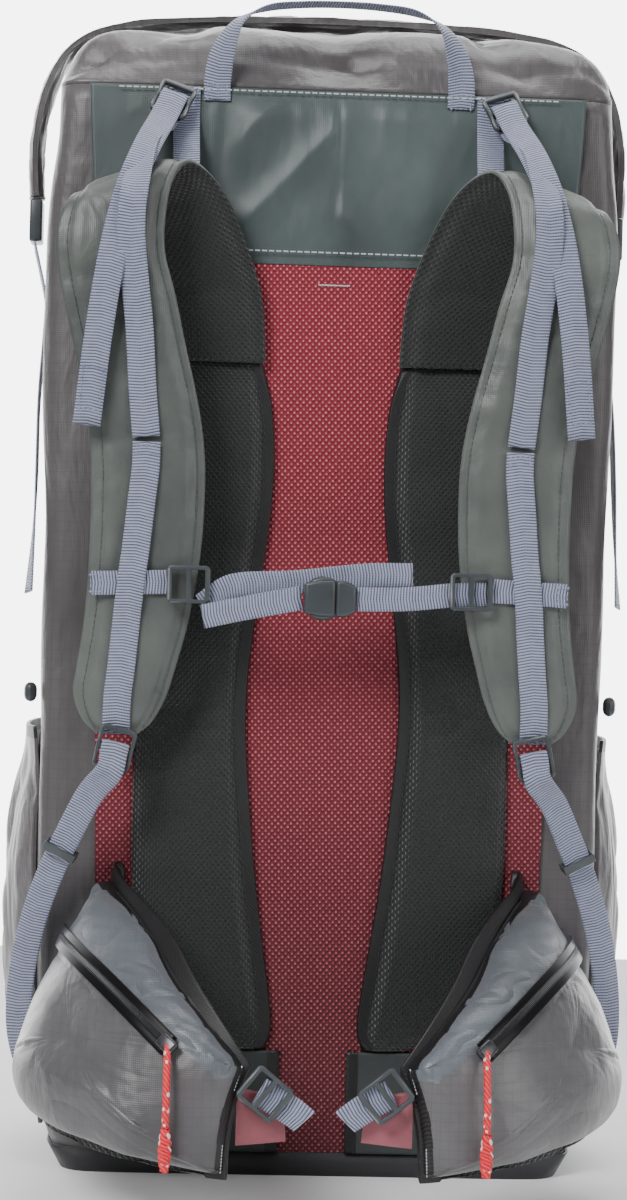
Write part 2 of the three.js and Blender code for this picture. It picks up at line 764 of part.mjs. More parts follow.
const overTop = {
  at: fall[0].at
    .clone()
    .addScaledVector(fall[0].width, -0.42 * fall[0].half)
    .addScaledVector(fall[0].face, fall[0].thick / 2 + LIFTER_CLEAR),
  face: fall[0].face,
};
const lifterUp = [
  ...LIFTER_ROWS.map(({ up, across, clear }) =>
    onStrap(onFall(up), across, WEB_LIFT + GAP + LIFTER_CLEAR * clear),
  ),
  overTop,
];
const lifterDown = TAIL_ROWS.map(({ across, out, up }) => ({
  at: point(BAG_HALF * across, ANCHOR_Y - (STRAP_REACH - STRAP_THICK / 2) * out, onFall(up)),
  face: point(0, -1, 0.1),
}));

addPair("strap_hanger", band(hangerPath, WEBBING_WIDTH, WEBBING_THICK), "webbing");
addPair("load_lifter_buckle", ladderLock(lifterLock), "buckle");
const lifterPath = threaded(lifterUp, lifterLock, BUCKLE_LENGTH * 0.68, lifterDown);
addPair("load_lifter", band(lifterPath, WEBBING_WIDTH, WEBBING_THICK), "webbing");

// Strap webbing: sewn down the middle of the strap, over the sternum webbing, to the lower buckle.

const ADJUSTER_HEIGHT = STRAP_TIP - BUCKLE_LENGTH * 0.32;
const ADJUSTER_ACROSS = 0.705;
const CROSSING_LIFT = WEBBING_THICK + 2 * GAP;
const nearSternum = (share) => STERNUM_HEIGHT + STERNUM_WIDTH * share;
// Heights from the sternum strap's crossing up to the seam at the lifter, and down to the foot.
const aboveCrossing = (share) => mix(nearSternum(1.55), onFall(LIFTER_ROOT - 0.009), share);
const belowCrossing = (share) => mix(nearSternum(-1.3), onFall(0.07), share);
const STRAP_WEBBING_ROWS = [
  { z: aboveCrossing(1), across: 0.0, lift: 0 },
  { z: aboveCrossing(0.767), across: 0.03, lift: 0 },
  { z: aboveCrossing(0.455), across: 0.1, lift: 0 },
  { z: aboveCrossing(0), across: 0.17, lift: 0 },
  { z: nearSternum(0.95), across: 0.18, lift: 1 },
  { z: nearSternum(-0.5), across: 0.19, lift: 1 },
  { z: belowCrossing(0), across: 0.19, lift: 0 },
  { z: belowCrossing(0.595), across: 0.1, lift: 0 },
  { z: belowCrossing(1), across: 0.04, lift: 0 },
  { z: onFall(0.022), across: 0.03, lift: 0 },
  { z: onFall(0.002), across: 0.04, lift: 0 },
];
const strapWebbing = STRAP_WEBBING_ROWS.map(({ z, across, lift }) =>
  onStrap(z, across, WEB_LIFT + GAP + lift * CROSSING_LIFT),
);
const webbingEnd = strapWebbing[strapWebbing.length - 1].at;
const adjusterLock = {
  at: point(
    BAG_HALF * ADJUSTER_ACROSS,
    webbingEnd.y - WEBBING_THICK / 2 - GAP - BUCKLE_THICK,
    ADJUSTER_HEIGHT,
  ),
  up: point(-0.22, -0.05, 1),
  face: point(0, -1, -0.05),
};

// Lower straps: from the foot of the bag's back corner up to the adjuster buckle, with a free tail
// that runs back down to the keeper. The last rows are the ends of the webbing.

// across is a share of half the bag's width, out of the straps' reach, up of the buckle's height,
// and turn is how far the webbing's face has turned from the bag's back to the strap's foot.
const LOWER_ROWS = [
  { across: 0.838, out: 0.0, up: 0.125, turn: 0 },
  { across: 0.9, out: 0.035, up: 0.172, turn: 0.1 },
  { across: 0.965, out: 0.06, up: 0.227, turn: 0.3 },
  { across: 1.012, out: 0.07, up: 0.328, turn: 0.6 },
  { across: 1.012, out: 0.107, up: 0.445, turn: 1 },
  { across: 0.975, out: 0.2, up: 0.586, turn: 1 },
  { across: 0.913, out: 0.367, up: 0.711, turn: 1 },
  { across: 0.855, out: 0.515, up: 0.797, turn: 1 },
  { across: 0.786, out: 0.7, up: 0.891, turn: 1 },
];
const TAIL_LIFT = WEBBING_THICK + 3 * GAP;
const backFace = point(0, -1, 0);
const lowerFace = point(0.25, -0.94, -0.3).normalize();
const lowerUp = LOWER_ROWS.map(({ across, out, up, turn }) => ({
  at: point(BAG_HALF * across, BACK_Y - WEB_LIFT - STRAP_REACH * out, ADJUSTER_HEIGHT * up),
  face: backFace.clone().lerp(lowerFace, turn).normalize(),
}));
const lowerDown = lowerUp
  .slice(-3)
  .reverse()
  .map(({ at, face }) => ({ at: at.clone().addScaledVector(face, TAIL_LIFT), face }));
lowerDown[2].at.lerp(lowerDown[1].at, 0.35);

// Keepers: small moulded loops that hold the tail on the webbing behind it.

const KEEPER_WALL = 1.5;
const KEEPER_LENGTH = 5;

function keeper({ at, up, face }, layers) {
  const half = WINDOW_WIDTH / 2;
  const high = (layers * WEBBING_THICK + 4 * GAP) / 2;
  const [wide, tall] = [half + KEEPER_WALL, high + KEEPER_WALL];
  const outline = rectangle(new THREE.Shape(), -wide, -tall, wide, tall);
  outline.holes.push(rectangle(new THREE.Path(), -half, -high, half, high));
  const geometry = new THREE.ExtrudeGeometry(outline, { depth: KEEPER_LENGTH, bevelEnabled: false });
  geometry.translate(0, 0, -KEEPER_LENGTH / 2);
  const z = up.clone().normalize();
  const x = face.clone().cross(z).normalize();
  const y = z.clone().cross(x).normalize();
  const turn = new THREE.Matrix4().makeBasis(x, y, z);
  turn.setPosition(at);
  return geometry.applyMatrix4(turn);
}

const keeperLow = lowerUp[6].at;
const keeperHigh = lowerUp[7].at;
const keeperPlace = {
  at: keeperLow.clone().lerp(keeperHigh, 0.55).addScaledVector(lowerFace, TAIL_LIFT / 2),
  up: keeperHigh.clone().sub(keeperLow),
  face: lowerFace,
};
const lowerPath = threaded(lowerUp, adjusterLock, BUCKLE_LENGTH * 0.56, lowerDown);
addPair("strap_webbing", band(strapWebbing, WEBBING_WIDTH, WEBBING_THICK), "webbing");
addPair("adjuster_buckle", ladderLock(adjusterLock), "buckle");
addPair("lower_strap", band(lowerPath, WEBBING_WIDTH, WEBBING_THICK), "webbing");
addPair("strap_keeper", keeper(keeperPlace, 3), "buckle");

// Haul loop: webbing whose feet are sewn at the top seam and which turns edge-on over the top.

const HAUL_HALF = 73;
const HAUL_RISE = 52;
const HAUL_LEAN = 2;
const HAUL_ROWS = [
  { across: 1.0, up: -0.16, out: 0, turn: 0 },
  { across: 1.0, up: 0.1, out: 0.25, turn: 0 },
  { across: 0.96, up: 0.42, out: 1, turn: 0.35 },
  { across: 0.84, up: 0.75, out: 1, turn: 0.7 },
  { across: 0.62, up: 0.92, out: 0, turn: 0.95 },
  { across: 0.32, up: 0.985, out: -1, turn: 1 },
];
const HAUL_Y = onPanel(HAUL_HALF, MOUTH_HEIGHT + HAUL_RISE * HAUL_ROWS[0].up).y;
const haulRight = HAUL_ROWS.map(({ across, up, out, turn }) => ({
  at: point(HAUL_HALF * across, HAUL_Y - HAUL_LEAN * out, MOUTH_HEIGHT + HAUL_RISE * up),
  face: point(turn * across, turn - 1, turn * (1.2 - across)),
}));
const haulPath = [
  ...haulRight,
  { at: point(0, HAUL_Y + HAUL_LEAN, MOUTH_HEIGHT + HAUL_RISE), face: point(0, 0, 1) },
  ...haulRight.map(({ at, face }) => ({ at: mirrored(at), face: mirrored(face) })).reverse(),
];
add("haul_loop", band(haulPath, WEBBING_WIDTH, WEBBING_THICK), "webbing");

// Sternum strap: a webbing anchor and a slider on each strap, the webbing and its buckle between.

const SLIDER_X = 82;
const STERNUM_RISE = 4;
const sternumFace = point(0, -1, 0);
const tailFace = point(0, 1, 0);
const anchorRows = [0.92, 0.6, 0.19, -0.2, -0.5].map((across) =>
  onStrap(nearSternum(0.2), across, WEB_LIFT + GAP),
);
const STERNUM_Y = anchorRows[4].at.y - GAP;
const SLIDER_Y = STERNUM_Y - WEBBING_THICK / 2 - 3 * GAP - BUCKLE_THICK / 2;
const STERNUM_BUCKLE_Y = SLIDER_Y - STERNUM_BUCKLE_THICK / 2 + 2;
const BUCKLE_HALF = STERNUM_BUCKLE_LENGTH / 2;
const BUCKLE_OUT = (STERNUM_Y - STERNUM_BUCKLE_Y) / STERNUM_BUCKLE_THICK;

// along is a share of the slider's distance from the middle, out of the buckle's thickness and
// rise of the webbing's width.
const sternumRow = ({ along, out, rise, face }) => ({
  at: point(SLIDER_X * along, STERNUM_Y - STERNUM_BUCKLE_THICK * out, nearSternum(rise)),
  face: face ?? sternumFace,
});
const sternumLeft = [
  { along: -(BUCKLE_HALF + 5 * GAP) / SLIDER_X, out: BUCKLE_OUT, rise: -0.286 },
  { along: -0.61, out: 0.722, rise: -0.786 },
  { along: -0.927, out: 0.722, rise: -1.214 },
  { along: -1.049, out: 0.644, rise: -1.357 },
  { along: -1.098, out: 0.378, rise: -1.357, face: point(-1, 0, 0) },
  { along: -1.049, out: 0.111, rise: -1.214, face: tailFace },
  { along: -0.902, out: 0, rise: -0.714, face: tailFace },
  { along: -0.683, out: 0, rise: 0.143, face: tailFace },
  { along: -0.244, out: -0.222, rise: 0.357, face: tailFace },
  { along: 0.244, out: -0.222, rise: 0.714, face: tailFace },
  { along: 0.585, out: 0, rise: 0.786, face: tailFace },
].map(sternumRow);
const sternumRight = [
  { along: (BUCKLE_HALF + GAP) / SLIDER_X, out: BUCKLE_OUT, rise: -0.286 },
  { along: 0.55, out: 0.333, rise: -0.214 },
  { along: 0.878, out: 0.022, rise: 0 },
  { along: 1.122, out: 0, rise: 0.07 },
].map(sternumRow);

function buckleHalf(x0, x1, waist) {
  const h = STERNUM_BUCKLE_HEIGHT / 2;
  const middle = mix(x0, x1, 0.5);
  const outline = new THREE.Shape(
    [
      [x0, -h * waist],
      [middle, -h],
      [x1, -h],
      [x1, h],
      [middle, h],
      [x0, h * waist],
    ].map(([x, y]) => new THREE.Vector2(x, y)),
  );
  const geometry = new THREE.ExtrudeGeometry(outline, {
    depth: STERNUM_BUCKLE_THICK,
    bevelEnabled: false,
  });
  geometry.rotateX(Math.PI / 2);
  geometry.translate(0, STERNUM_BUCKLE_Y + STERNUM_BUCKLE_THICK / 2, nearSternum(-0.286));
  return geometry;
}

add("sternum_strap_left", band(sternumLeft, STERNUM_WIDTH, WEBBING_THICK), "webbing");
add("sternum_strap_right", band(sternumRight, STERNUM_WIDTH, WEBBING_THICK), "webbing");
add("sternum_buckle_socket", buckleHalf(-BUCKLE_HALF, BUCKLE_HALF * 0.2, 0.85), "buckle");
add("sternum_buckle_plug", buckleHalf(BUCKLE_HALF, BUCKLE_HALF * 0.2 + GAP, 0.7), "buckle");
addPair("sternum_anchor", band(anchorRows, STERNUM_WIDTH, WEBBING_THICK), "webbing");
const slider = {
  at: point(SLIDER_X, SLIDER_Y, STERNUM_HEIGHT + STERNUM_RISE / 2),
  up: point(1, 0, 0),
  face: sternumFace,
};
addPair("sternum_slider", ladderLock(slider), "buckle");

// Hip belt: a padded wing on each side, from the back round to the front, leaning in at its top.
// The three edges are given in each row; x, out and z are shares of the belt's width, reach and top.

const BELT_ROWS = [
  { top: [0.735, 0.0, 1.0], middle: [0.735, 0.0, 0.68], foot: [0.735, 0.0, 0.34] },
  { top: [0.765, 0.01, 1.0], middle: [0.83, 0.01, 0.68], foot: [0.86, 0.01, 0.33] },
  { top: [0.745, 0.12, 0.965], middle: [0.86, 0.11, 0.66], foot: [0.93, 0.12, 0.3] },
  { top: [0.64, 0.32, 0.91], middle: [0.9, 0.3, 0.62], foot: [0.98, 0.3, 0.27] },
  { top: [0.53, 0.54, 0.82], middle: [0.9, 0.52, 0.56], foot: [0.98, 0.52, 0.24] },
  { top: [0.47, 0.7, 0.74], middle: [0.8, 0.72, 0.5], foot: [0.86, 0.73, 0.22] },
  { top: [0.4, 0.83, 0.66], middle: [0.62, 0.88, 0.44], foot: [0.66, 0.9, 0.2] },
  { top: [0.32, 0.92, 0.57], middle: [0.45, 0.965, 0.38], foot: [0.48, 0.98, 0.18] },
  { top: [0.26, 0.955, 0.5], middle: [0.32, 0.99, 0.34], foot: [0.33, 1.0, 0.17] },
];
const BELT_ROOT_Y = PANEL_FACE - GAP;

function beltEdge(row, edge) {
  const [x, out, z] = row[edge];
  return point(BELT_WIDTH * x, BELT_ROOT_Y - BELT_REACH * out, BELT_TOP * z);
}

// A place on the belt's outer face: s runs from the back (0) to the front (1), t from top to foot.
function onBelt(s, t, out) {
  const spot = (u, v) => {
    const along = THREE.MathUtils.clamp(u, 0, 1) * (BELT_ROWS.length - 1);
    const i = Math.min(Math.floor(along), BELT_ROWS.length - 2);
    const at = (k) => {
      const [a, b, c] = ["top", "middle", "foot"].map((edge) => beltEdge(BELT_ROWS[k], edge));
      const bend = b.clone().sub(a.clone().add(c).multiplyScalar(0.5));
      return a.clone().lerp(c, v).addScaledVector(bend, 4 * v * (1 - v));
    };
    return at(i).lerp(at(i + 1), along - i);
  };
  const step = 0.02;
  const along = spot(s + step, t).sub(spot(s - step, t));
  const down = spot(s, t + step).sub(spot(s, t - step));
  const face = along.cross(down).normalize();
  return { at: spot(s, t).addScaledVector(face, out), face };
}

const BELT_STEPS = 14;
const BELT_DROPS = [0, 0.05, 0.25, 0.5, 0.75, 0.95, 1];

function beltGrid(outer) {
  return Array.from({ length: BELT_STEPS + 1 }, (_, i) =>
    BELT_DROPS.map((t) => {
      const edge = t === 0 || t === 1 ? 0.35 : 1;
      const out = outer ? 0 : -BELT_THICK * edge;
      return onBelt(i / BELT_STEPS, t, out).at;
    }),
  );
}

addPair("hip_belt", wall(beltGrid(true), beltGrid(false)), "black_mesh");

// Hip pockets: thin cloth domed over the belt's outer face and open towards it.
// shrink is a share of the pocket's outline and lift of its bulge.

const POCKET_ROWS = [
  { shrink: 1.0, lift: 0.0 },
  { shrink: 0.985, lift: 0.3 },
  { shrink: 0.92, lift: 0.62 },
  { shrink: 0.78, lift: 0.86 },
  { shrink: 0.55, lift: 0.98 },
  { shrink: 0.28, lift: 1.0 },
];
const POCKET = { first: 3, last: 14, drops: [0.05, 0.25, 0.5, 0.75, 0.95] };
const POCKET_SEAT = 2 * GAP;
const POCKET_MIDDLE = { s: 0.62, t: 0.52 };

// The pocket's sewn outline, as places along and down the belt.
function pocketOutline() {
  const { first, last, drops } = POCKET;
  const steps = Array.from({ length: last - first + 1 }, (_, k) => (first + k) / BELT_STEPS);
  const [top, ...rest] = drops;
  const foot = rest.pop();
  const back = steps[0];
  const front = steps[steps.length - 1];
  return [
    ...steps.map((s) => ({ s, t: top })),
    ...rest.map((t) => ({ s: front, t })),
    ...[...steps].reverse().map((s) => ({ s, t: foot })),
    ...[...rest].reverse().map((t) => ({ s: back, t })),
  ];
}

const pocketEdge = pocketOutline();

function pocketRings(inner) {
  return POCKET_ROWS.map(({ shrink, lift }) => {
    const size = inner ? shrink * 0.955 : shrink;
    const out = POCKET_SEAT + HIP_POCKET_BULGE * lift - (inner && lift > 0 ? CLOTH : 0);
    return pocketEdge.map(({ s, t }) => {
      const along = mix(POCKET_MIDDLE.s, s, size);
      const down = mix(POCKET_MIDDLE.t, t, size);
      return onBelt(along, down, Math.max(out, POCKET_SEAT)).at;
    });
  });
}

const pocketSolid = loft([...pocketRings(false).reverse(), ...pocketRings(true)]);
addPair("hip_pocket", pocketSolid, "ripstop");

// Pocket zips: a stiff coated strip along the upper part of the pocket's dome.

function pocketLift(size) {
  return HIP_POCKET_BULGE * lookUp(POCKET_ROWS, "shrink", size, "lift");
}

// A place over the pocket's dome, at s along and t down the belt.
function onDome(s, t, out) {
  const { first, last, drops } = POCKET;
  const reach = (v, middle, low, high) => (v - middle) / (v < middle ? low - middle : high - middle);
  const along = reach(s, POCKET_MIDDLE.s, first / BELT_STEPS, last / BELT_STEPS);
  const down = reach(t, POCKET_MIDDLE.t, drops[0], drops[drops.length - 1]);
  return onBelt(s, t, POCKET_SEAT + pocketLift(Math.max(along, down)) + out);
}

const ZIP_LIFT = 2.3;
const ZIP_ROWS = [
  { s: 0.3, t: 0.34 },
  { s: 0.4, t: 0.31 },
  { s: 0.5, t: 0.28 },
  { s: 0.6, t: 0.26 },
  { s: 0.7, t: 0.26 },
  { s: 0.8, t: 0.28 },
];
const zipPath = ZIP_ROWS.map(({ s, t }) => onDome(s, t, ZIP_LIFT));

// Zip pulls: red cord looped through the slider, hanging down the pocket to a knot.

const PULL_SIDES = 8;
const PULL_LENGTH = 42;
const PULL_START = ZIP_ROWS[ZIP_ROWS.length - 1];
// drop is a share of the cord's length and stand of its diameter.
const PULL_ROWS = [
  { drop: 0.0, stand: 0.0 },
  { drop: 0.2, stand: 1.3 },
  { drop: 0.5, stand: 2.6 },
  { drop: 0.75, stand: 3.1 },
  { drop: 1.0, stand: 3.3 },
];
const pullStart = onDome(
  PULL_START.s,
  PULL_START.t,
  ZIP_LIFT + ZIP_THICK / 2 + GAP + PULL_DIAMETER / 2,
).at;
const pullPath = PULL_ROWS.map(({ drop, stand }) =>
  pullStart.clone().add(point(0, -PULL_DIAMETER * stand, -PULL_LENGTH * drop)),
);

function pullCord() {
  const curve = new THREE.CatmullRomCurve3(pullPath);
  const section = new THREE.Shape();
  for (let k = 0; k < PULL_SIDES; k += 1) {
    const angle = (2 * Math.PI * k) / PULL_SIDES;
    const [x, y] = [Math.cos(angle), Math.sin(angle)].map((v) => (v * PULL_DIAMETER) / 2);
    if (k === 0) section.moveTo(x, y);
    else section.lineTo(x, y);
  }
  section.closePath();
  return new THREE.ExtrudeGeometry(section, { steps: 6, bevelEnabled: false, extrudePath: curve });
}

function knot() {
  const low = pullPath[pullPath.length - 1];
  const profile = [
    [0, -KNOT_LENGTH / 2],
    [PULL_DIAMETER * 0.8, -KNOT_LENGTH * 0.42],
    [PULL_DIAMETER, 0],
    [PULL_DIAMETER * 0.8, KNOT_LENGTH * 0.42],
    [0, KNOT_LENGTH / 2],
  ].map(([r, h]) => new THREE.Vector2(r, h));
  const geometry = new THREE.LatheGeometry(profile, PULL_SIDES);
  geometry.rotateX(Math.PI / 2);
  geometry.translate(low.x, low.y, low.z - KNOT_LENGTH / 2 - GAP);
  return geometry;
}

addPair("hip_zip", band(zipPath, ZIP_WIDTH, ZIP_THICK), "zip");
addPair("zip_pull", pullCord(), "red_cord");
addPair("zip_pull_knot", knot(), "red_cord");

// Belt webbing: sewn across the belt's front end, looped back to a buckle above it.

const BELT_FRONT_Y = BELT_ROOT_Y - BELT_REACH - WEB_LIFT;
const BELT_SEAM = [0.95, 1].map((s) => onBelt(s, 0.84, -BELT_THICK - WEB_LIFT));
// x and z are shares of the belt's width and top, back of the webbing's width behind its front.
const BELT_WEBBING_ROWS = [
  { x: 0.212, back: 0.6, z: 0.224, face: [0, -1, 0] },
  { x: 0.125, back: 0.56, z: 0.232, face: [0, -1, 0] },
  { x: 0.056, back: 0.46, z: 0.254, face: [-0.6, -0.8, 0] },
  { x: 0.037, back: 0.32, z: 0.292, face: [-1, 0, 0] },
  { x: 0.062, back: 0.19, z: 0.335, face: [-0.3, 1, 0] },
  { x: 0.138, back: 0.175, z: 0.384, face: [0, 1, 0] },
  { x: 0.225, back: 0.175, z: 0.427, face: [0, 1, 0] },
];
const BELT_LOCK = { x: 0.205, z: 0.422 };
const beltLock = {
  at: point(BELT_WIDTH * BELT_LOCK.x, BELT_FRONT_Y, BELT_TOP * BELT_LOCK.z),
  up: point(0.75, 0, 0.6),
  face: point(0, -1, 0),
};
const beltWebbing = [
  ...BELT_SEAM,
  ...BELT_WEBBING_ROWS.map(({ x, back, z, face }) => ({
    at: point(BELT_WIDTH * x, BELT_FRONT_Y + WEBBING_WIDTH * back, BELT_TOP * z),
    face: point(...face),
  })),
];
addPair("belt_webbing", band(beltWebbing, WEBBING_WIDTH, WEBBING_THICK), "webbing");
addPair("belt_buckle", ladderLock(beltLock), "buckle");

// A place on the bag's flank, from the back corner (0) round to the front corner (1), lifted off.
const FLANK_CORNERS = [0.14, 0.72];

function onFlank(share, z, out) {
  const section = bagSection(z);
  const [low, high] = FLANK_CORNERS;
  const back = cornerPoint(section, BAG_CORNERS[0], -90 + (90 * Math.min(share, low)) / low, out);
  const turn = (90 * Math.max(share - high, 0)) / (1 - high);
  const front = cornerPoint(section, BAG_CORNERS[1], turn, out);
  const spot = (() => {
    if (share <= low) return back;
    if (share >= high) return front;
    return back.lerp(front, (share - low) / (high - low));
  })();
  return point(spot.x, spot.y, z);
}

// Side pockets: slack cloth sewn to the bag's flank at its edges and open at the hem.
// up is a share of the pocket's height, bulge of its bulge, and span narrows the sewn edges.

const SIDE_POCKET_ROWS = [
  { up: 0.0, bulge: 0.02, span: 0.9 },
  { up: 0.05, bulge: 0.3, span: 0.96 },
  { up: 0.12, bulge: 0.62, span: 1.0 },
  { up: 0.22, bulge: 0.86, span: 1.0 },
  { up: 0.36, bulge: 1.0, span: 1.0 },
  { up: 0.5, bulge: 0.96, span: 1.0 },
  { up: 0.62, bulge: 0.98, span: 1.0 },
  { up: 0.74, bulge: 0.8, span: 0.98 },
  { up: 0.85, bulge: 0.66, span: 0.95 },
  { up: 0.94, bulge: 0.42, span: 0.9 },
  { up: 1.0, bulge: 0.34, span: 0.88 },
];
const POCKET_SPAN = { from: 0.12, to: 0.78 };
const SIDE_SEAT = 3 * GAP;
const SIDE_COLUMNS = 12;
const HEM_RUFFLES = 5;
const RUFFLE = 0.09;

function sidePocketGrid(out) {
  return SIDE_POCKET_ROWS.map(({ up, bulge, span }) => {
    const z = mix(SIDE_POCKET_FOOT, SIDE_POCKET_TOP, up);
    return Array.from({ length: SIDE_COLUMNS + 1 }, (_, j) => {
      const share = j / SIDE_COLUMNS;
      const middle = mix(POCKET_SPAN.from, POCKET_SPAN.to, 0.5);
      const place = middle + (mix(POCKET_SPAN.from, POCKET_SPAN.to, share) - middle) * span;
      const ruffle = 1 + RUFFLE * up * Math.cos(2 * Math.PI * HEM_RUFFLES * share);
      const belly = Math.sin(Math.PI * share) ** 0.55 * bulge * ruffle;
      return onFlank(place, z, out + SIDE_POCKET_BULGE * belly);
    });
  });
}

addPair("side_pocket", wall(sidePocketGrid(SIDE_SEAT + CLOTH), sidePocketGrid(SIDE_SEAT)), "ripstop");

// Side straps: from the roll-top's clip down the back corner of the flank, with the end hanging.

const SIDE_BUCKLE_WIDTH = 24;
const SIDE_BUCKLE_HEIGHT = 27;
const SIDE_BUCKLE_THICK = 8;
const SIDE_STRAP_END = 345;
const SIDE_STRAP_HANG = 5;
const SIDE_LIFT = 4 * GAP + WEBBING_THICK / 2;
const sideBuckleTop = LIP_END_HEIGHT - 2 * GAP;
const sideStrapTop = sideBuckleTop - SIDE_BUCKLE_HEIGHT - WEBBING_WIDTH * 0.2;
// place runs round the flank from back to front, down from the strap's top to its end, and out is
// a share of how far the loose end hangs off the cloth.
const SIDE_STRAP_ROWS = [
  { place: 0.6, down: 0.0, out: 1.6 },
  { place: 0.565, down: 0.06, out: 1.0 },
  { place: 0.5, down: 0.17, out: 0.1 },
  { place: 0.41, down: 0.3, out: 0 },
  { place: 0.3, down: 0.47, out: 0 },
  { place: 0.18, down: 0.66, out: 0.2 },
  { place: 0.13, down: 0.82, out: 0.6 },
  { place: 0.11, down: 1.0, out: 1 },
];
const flankFace = (share, z) =>
  onFlank(share, z, 1).sub(onFlank(share, z, 0)).normalize();
const sideStrap = SIDE_STRAP_ROWS.map(({ place, down, out }) => {
  const z = mix(sideStrapTop, SIDE_STRAP_END, down);
  return { at: onFlank(place, z, SIDE_LIFT + SIDE_STRAP_HANG * out), face: flankFace(place, z) };
});

function sideBuckle() {
  const geometry = new THREE.BoxGeometry(SIDE_BUCKLE_THICK, SIDE_BUCKLE_WIDTH, SIDE_BUCKLE_HEIGHT);
  geometry.translate(BAG_HALF * LIP_ROWS[0].across, LIP_Y, sideBuckleTop - SIDE_BUCKLE_HEIGHT / 2);
  return geometry;
}

// Cord cleats: small moulded hooks for the compression cord, above each side pocket.

const CLEAT_WIDTH = 12;
const CLEAT_THICK = 8;
const CLEAT_SHARE = 0.13;
const CLEAT_RISE = 21;
const CLEAT_HEIGHT = SIDE_POCKET_TOP + CLEAT_RISE;

function cordCleat() {
  const geometry = new THREE.CapsuleGeometry(CLEAT_THICK / 2, CLEAT_WIDTH - CLEAT_THICK, 3, 8);
  geometry.rotateX(Math.PI / 2);
  const spot = onFlank(CLEAT_SHARE, CLEAT_HEIGHT, CLEAT_THICK / 2 + GAP);
  geometry.translate(spot.x, spot.y, spot.z);
  return geometry;
}

addPair("side_strap", band(sideStrap, WEBBING_WIDTH, WEBBING_THICK), "webbing");
addPair("side_buckle", sideBuckle(), "buckle");
addPair("cord_cleat", cordCleat(), "buckle");

export default pack;
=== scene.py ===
# The looks of a hiking backpack that stands on its base, seen from the harness side.
# Each cloth, pad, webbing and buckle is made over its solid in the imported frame, in metres.

import json
import math
from itertools import permutations

import bmesh
import bpy
import numpy as np
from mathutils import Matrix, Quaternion, Vector

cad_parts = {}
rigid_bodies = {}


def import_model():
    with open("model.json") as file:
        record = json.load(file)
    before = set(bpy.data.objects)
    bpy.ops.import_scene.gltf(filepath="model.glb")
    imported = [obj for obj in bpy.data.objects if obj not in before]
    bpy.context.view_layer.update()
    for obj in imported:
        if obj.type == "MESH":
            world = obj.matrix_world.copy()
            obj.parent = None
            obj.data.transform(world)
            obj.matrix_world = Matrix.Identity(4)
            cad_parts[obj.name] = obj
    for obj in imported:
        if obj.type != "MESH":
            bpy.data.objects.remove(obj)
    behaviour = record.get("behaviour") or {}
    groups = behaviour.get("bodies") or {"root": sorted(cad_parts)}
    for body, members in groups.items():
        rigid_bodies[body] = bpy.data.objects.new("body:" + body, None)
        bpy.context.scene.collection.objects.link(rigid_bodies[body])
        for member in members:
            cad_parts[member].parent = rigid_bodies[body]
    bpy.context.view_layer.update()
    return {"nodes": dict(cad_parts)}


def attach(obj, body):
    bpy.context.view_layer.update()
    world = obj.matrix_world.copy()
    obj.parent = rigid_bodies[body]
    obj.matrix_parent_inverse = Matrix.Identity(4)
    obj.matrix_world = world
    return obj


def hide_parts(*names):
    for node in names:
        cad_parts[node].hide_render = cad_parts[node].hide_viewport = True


for leftover in list(bpy.data.objects):
    bpy.data.objects.remove(leftover)
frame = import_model()

# Camera: a long lens at the height of the pack's middle, as for a shop photograph.
# It stands slightly to the left and is rolled, because the pack leans a little in the picture.

LOOK_AT = Vector((-0.007, -0.11, 0.345))
CAMERA_DISTANCE = 1.6
CAMERA_AZIMUTH = math.radians(-2.5)
CAMERA_ROLL = math.radians(1.6)

lens = bpy.data.cameras.new("photograph")
lens.lens = 80
lens.sensor_width = 36
camera = bpy.data.objects.new("photograph", lens)
bpy.context.scene.collection.objects.link(camera)
away = Vector((math.sin(CAMERA_AZIMUTH), -math.cos(CAMERA_AZIMUTH), 0))
camera.location = LOOK_AT + CAMERA_DISTANCE * away
facing = (-away).to_track_quat("-Z", "Y") @ Quaternion((0, 0, 1), CAMERA_ROLL)
camera.rotation_mode = "QUATERNION"
camera.rotation_quaternion = facing
bpy.context.scene.camera = camera

# Zip pulls: braided polyester cord, 4 mm thick, red with pale tracer threads. Each hangs from its
# slider down the hip pocket and ends in a knot.

PULL_DIAMETER = 0.004
PULL_PATH = [
    (0.0859, -0.2764, 0.1040),
    (0.0859, -0.2816, 0.0956),
    (0.0859, -0.2868, 0.0830),
    (0.0859, -0.2888, 0.0725),
    (0.0859, -0.2896, 0.0620),
]
KNOT_LENGTH = 0.022


def linear(code):
    """A colour as Blender takes it, from its sRGB hex code."""
    channels = [int(code[i : i + 2], 16) / 255 for i in (1, 3, 5)]
    return tuple(c / 12.92 if c < 0.0405 else ((c + 0.055) / 1.055) ** 2.4 for c in channels) + (1,)


def add_node(tree, kind, links=(), **settings):
    """Adds one node with its settings, and links or sets its inputs."""
    made = tree.nodes.new(kind)
    for key, value in settings.items():
        setattr(made, key, value)
    by_name = {socket.identifier: socket for socket in made.inputs}
    for key, value in dict(links).items():
        socket = by_name[key] if key in by_name else made.inputs[key]
        if isinstance(value, bpy.types.NodeSocket):
            tree.links.new(value, socket)
        else:
            socket.default_value = value
    return made


def new_material(name):
    """A material with an empty node tree, and its shader."""
    made = bpy.data.materials.new(name)
    made.use_nodes = True
    tree = made.node_tree
    tree.nodes.clear()
    shader = add_node(tree, "ShaderNodeBsdfPrincipled")
    output = add_node(tree, "ShaderNodeOutputMaterial")
    tree.links.new(shader.outputs["BSDF"], output.inputs["Surface"])
    return made, tree, shader


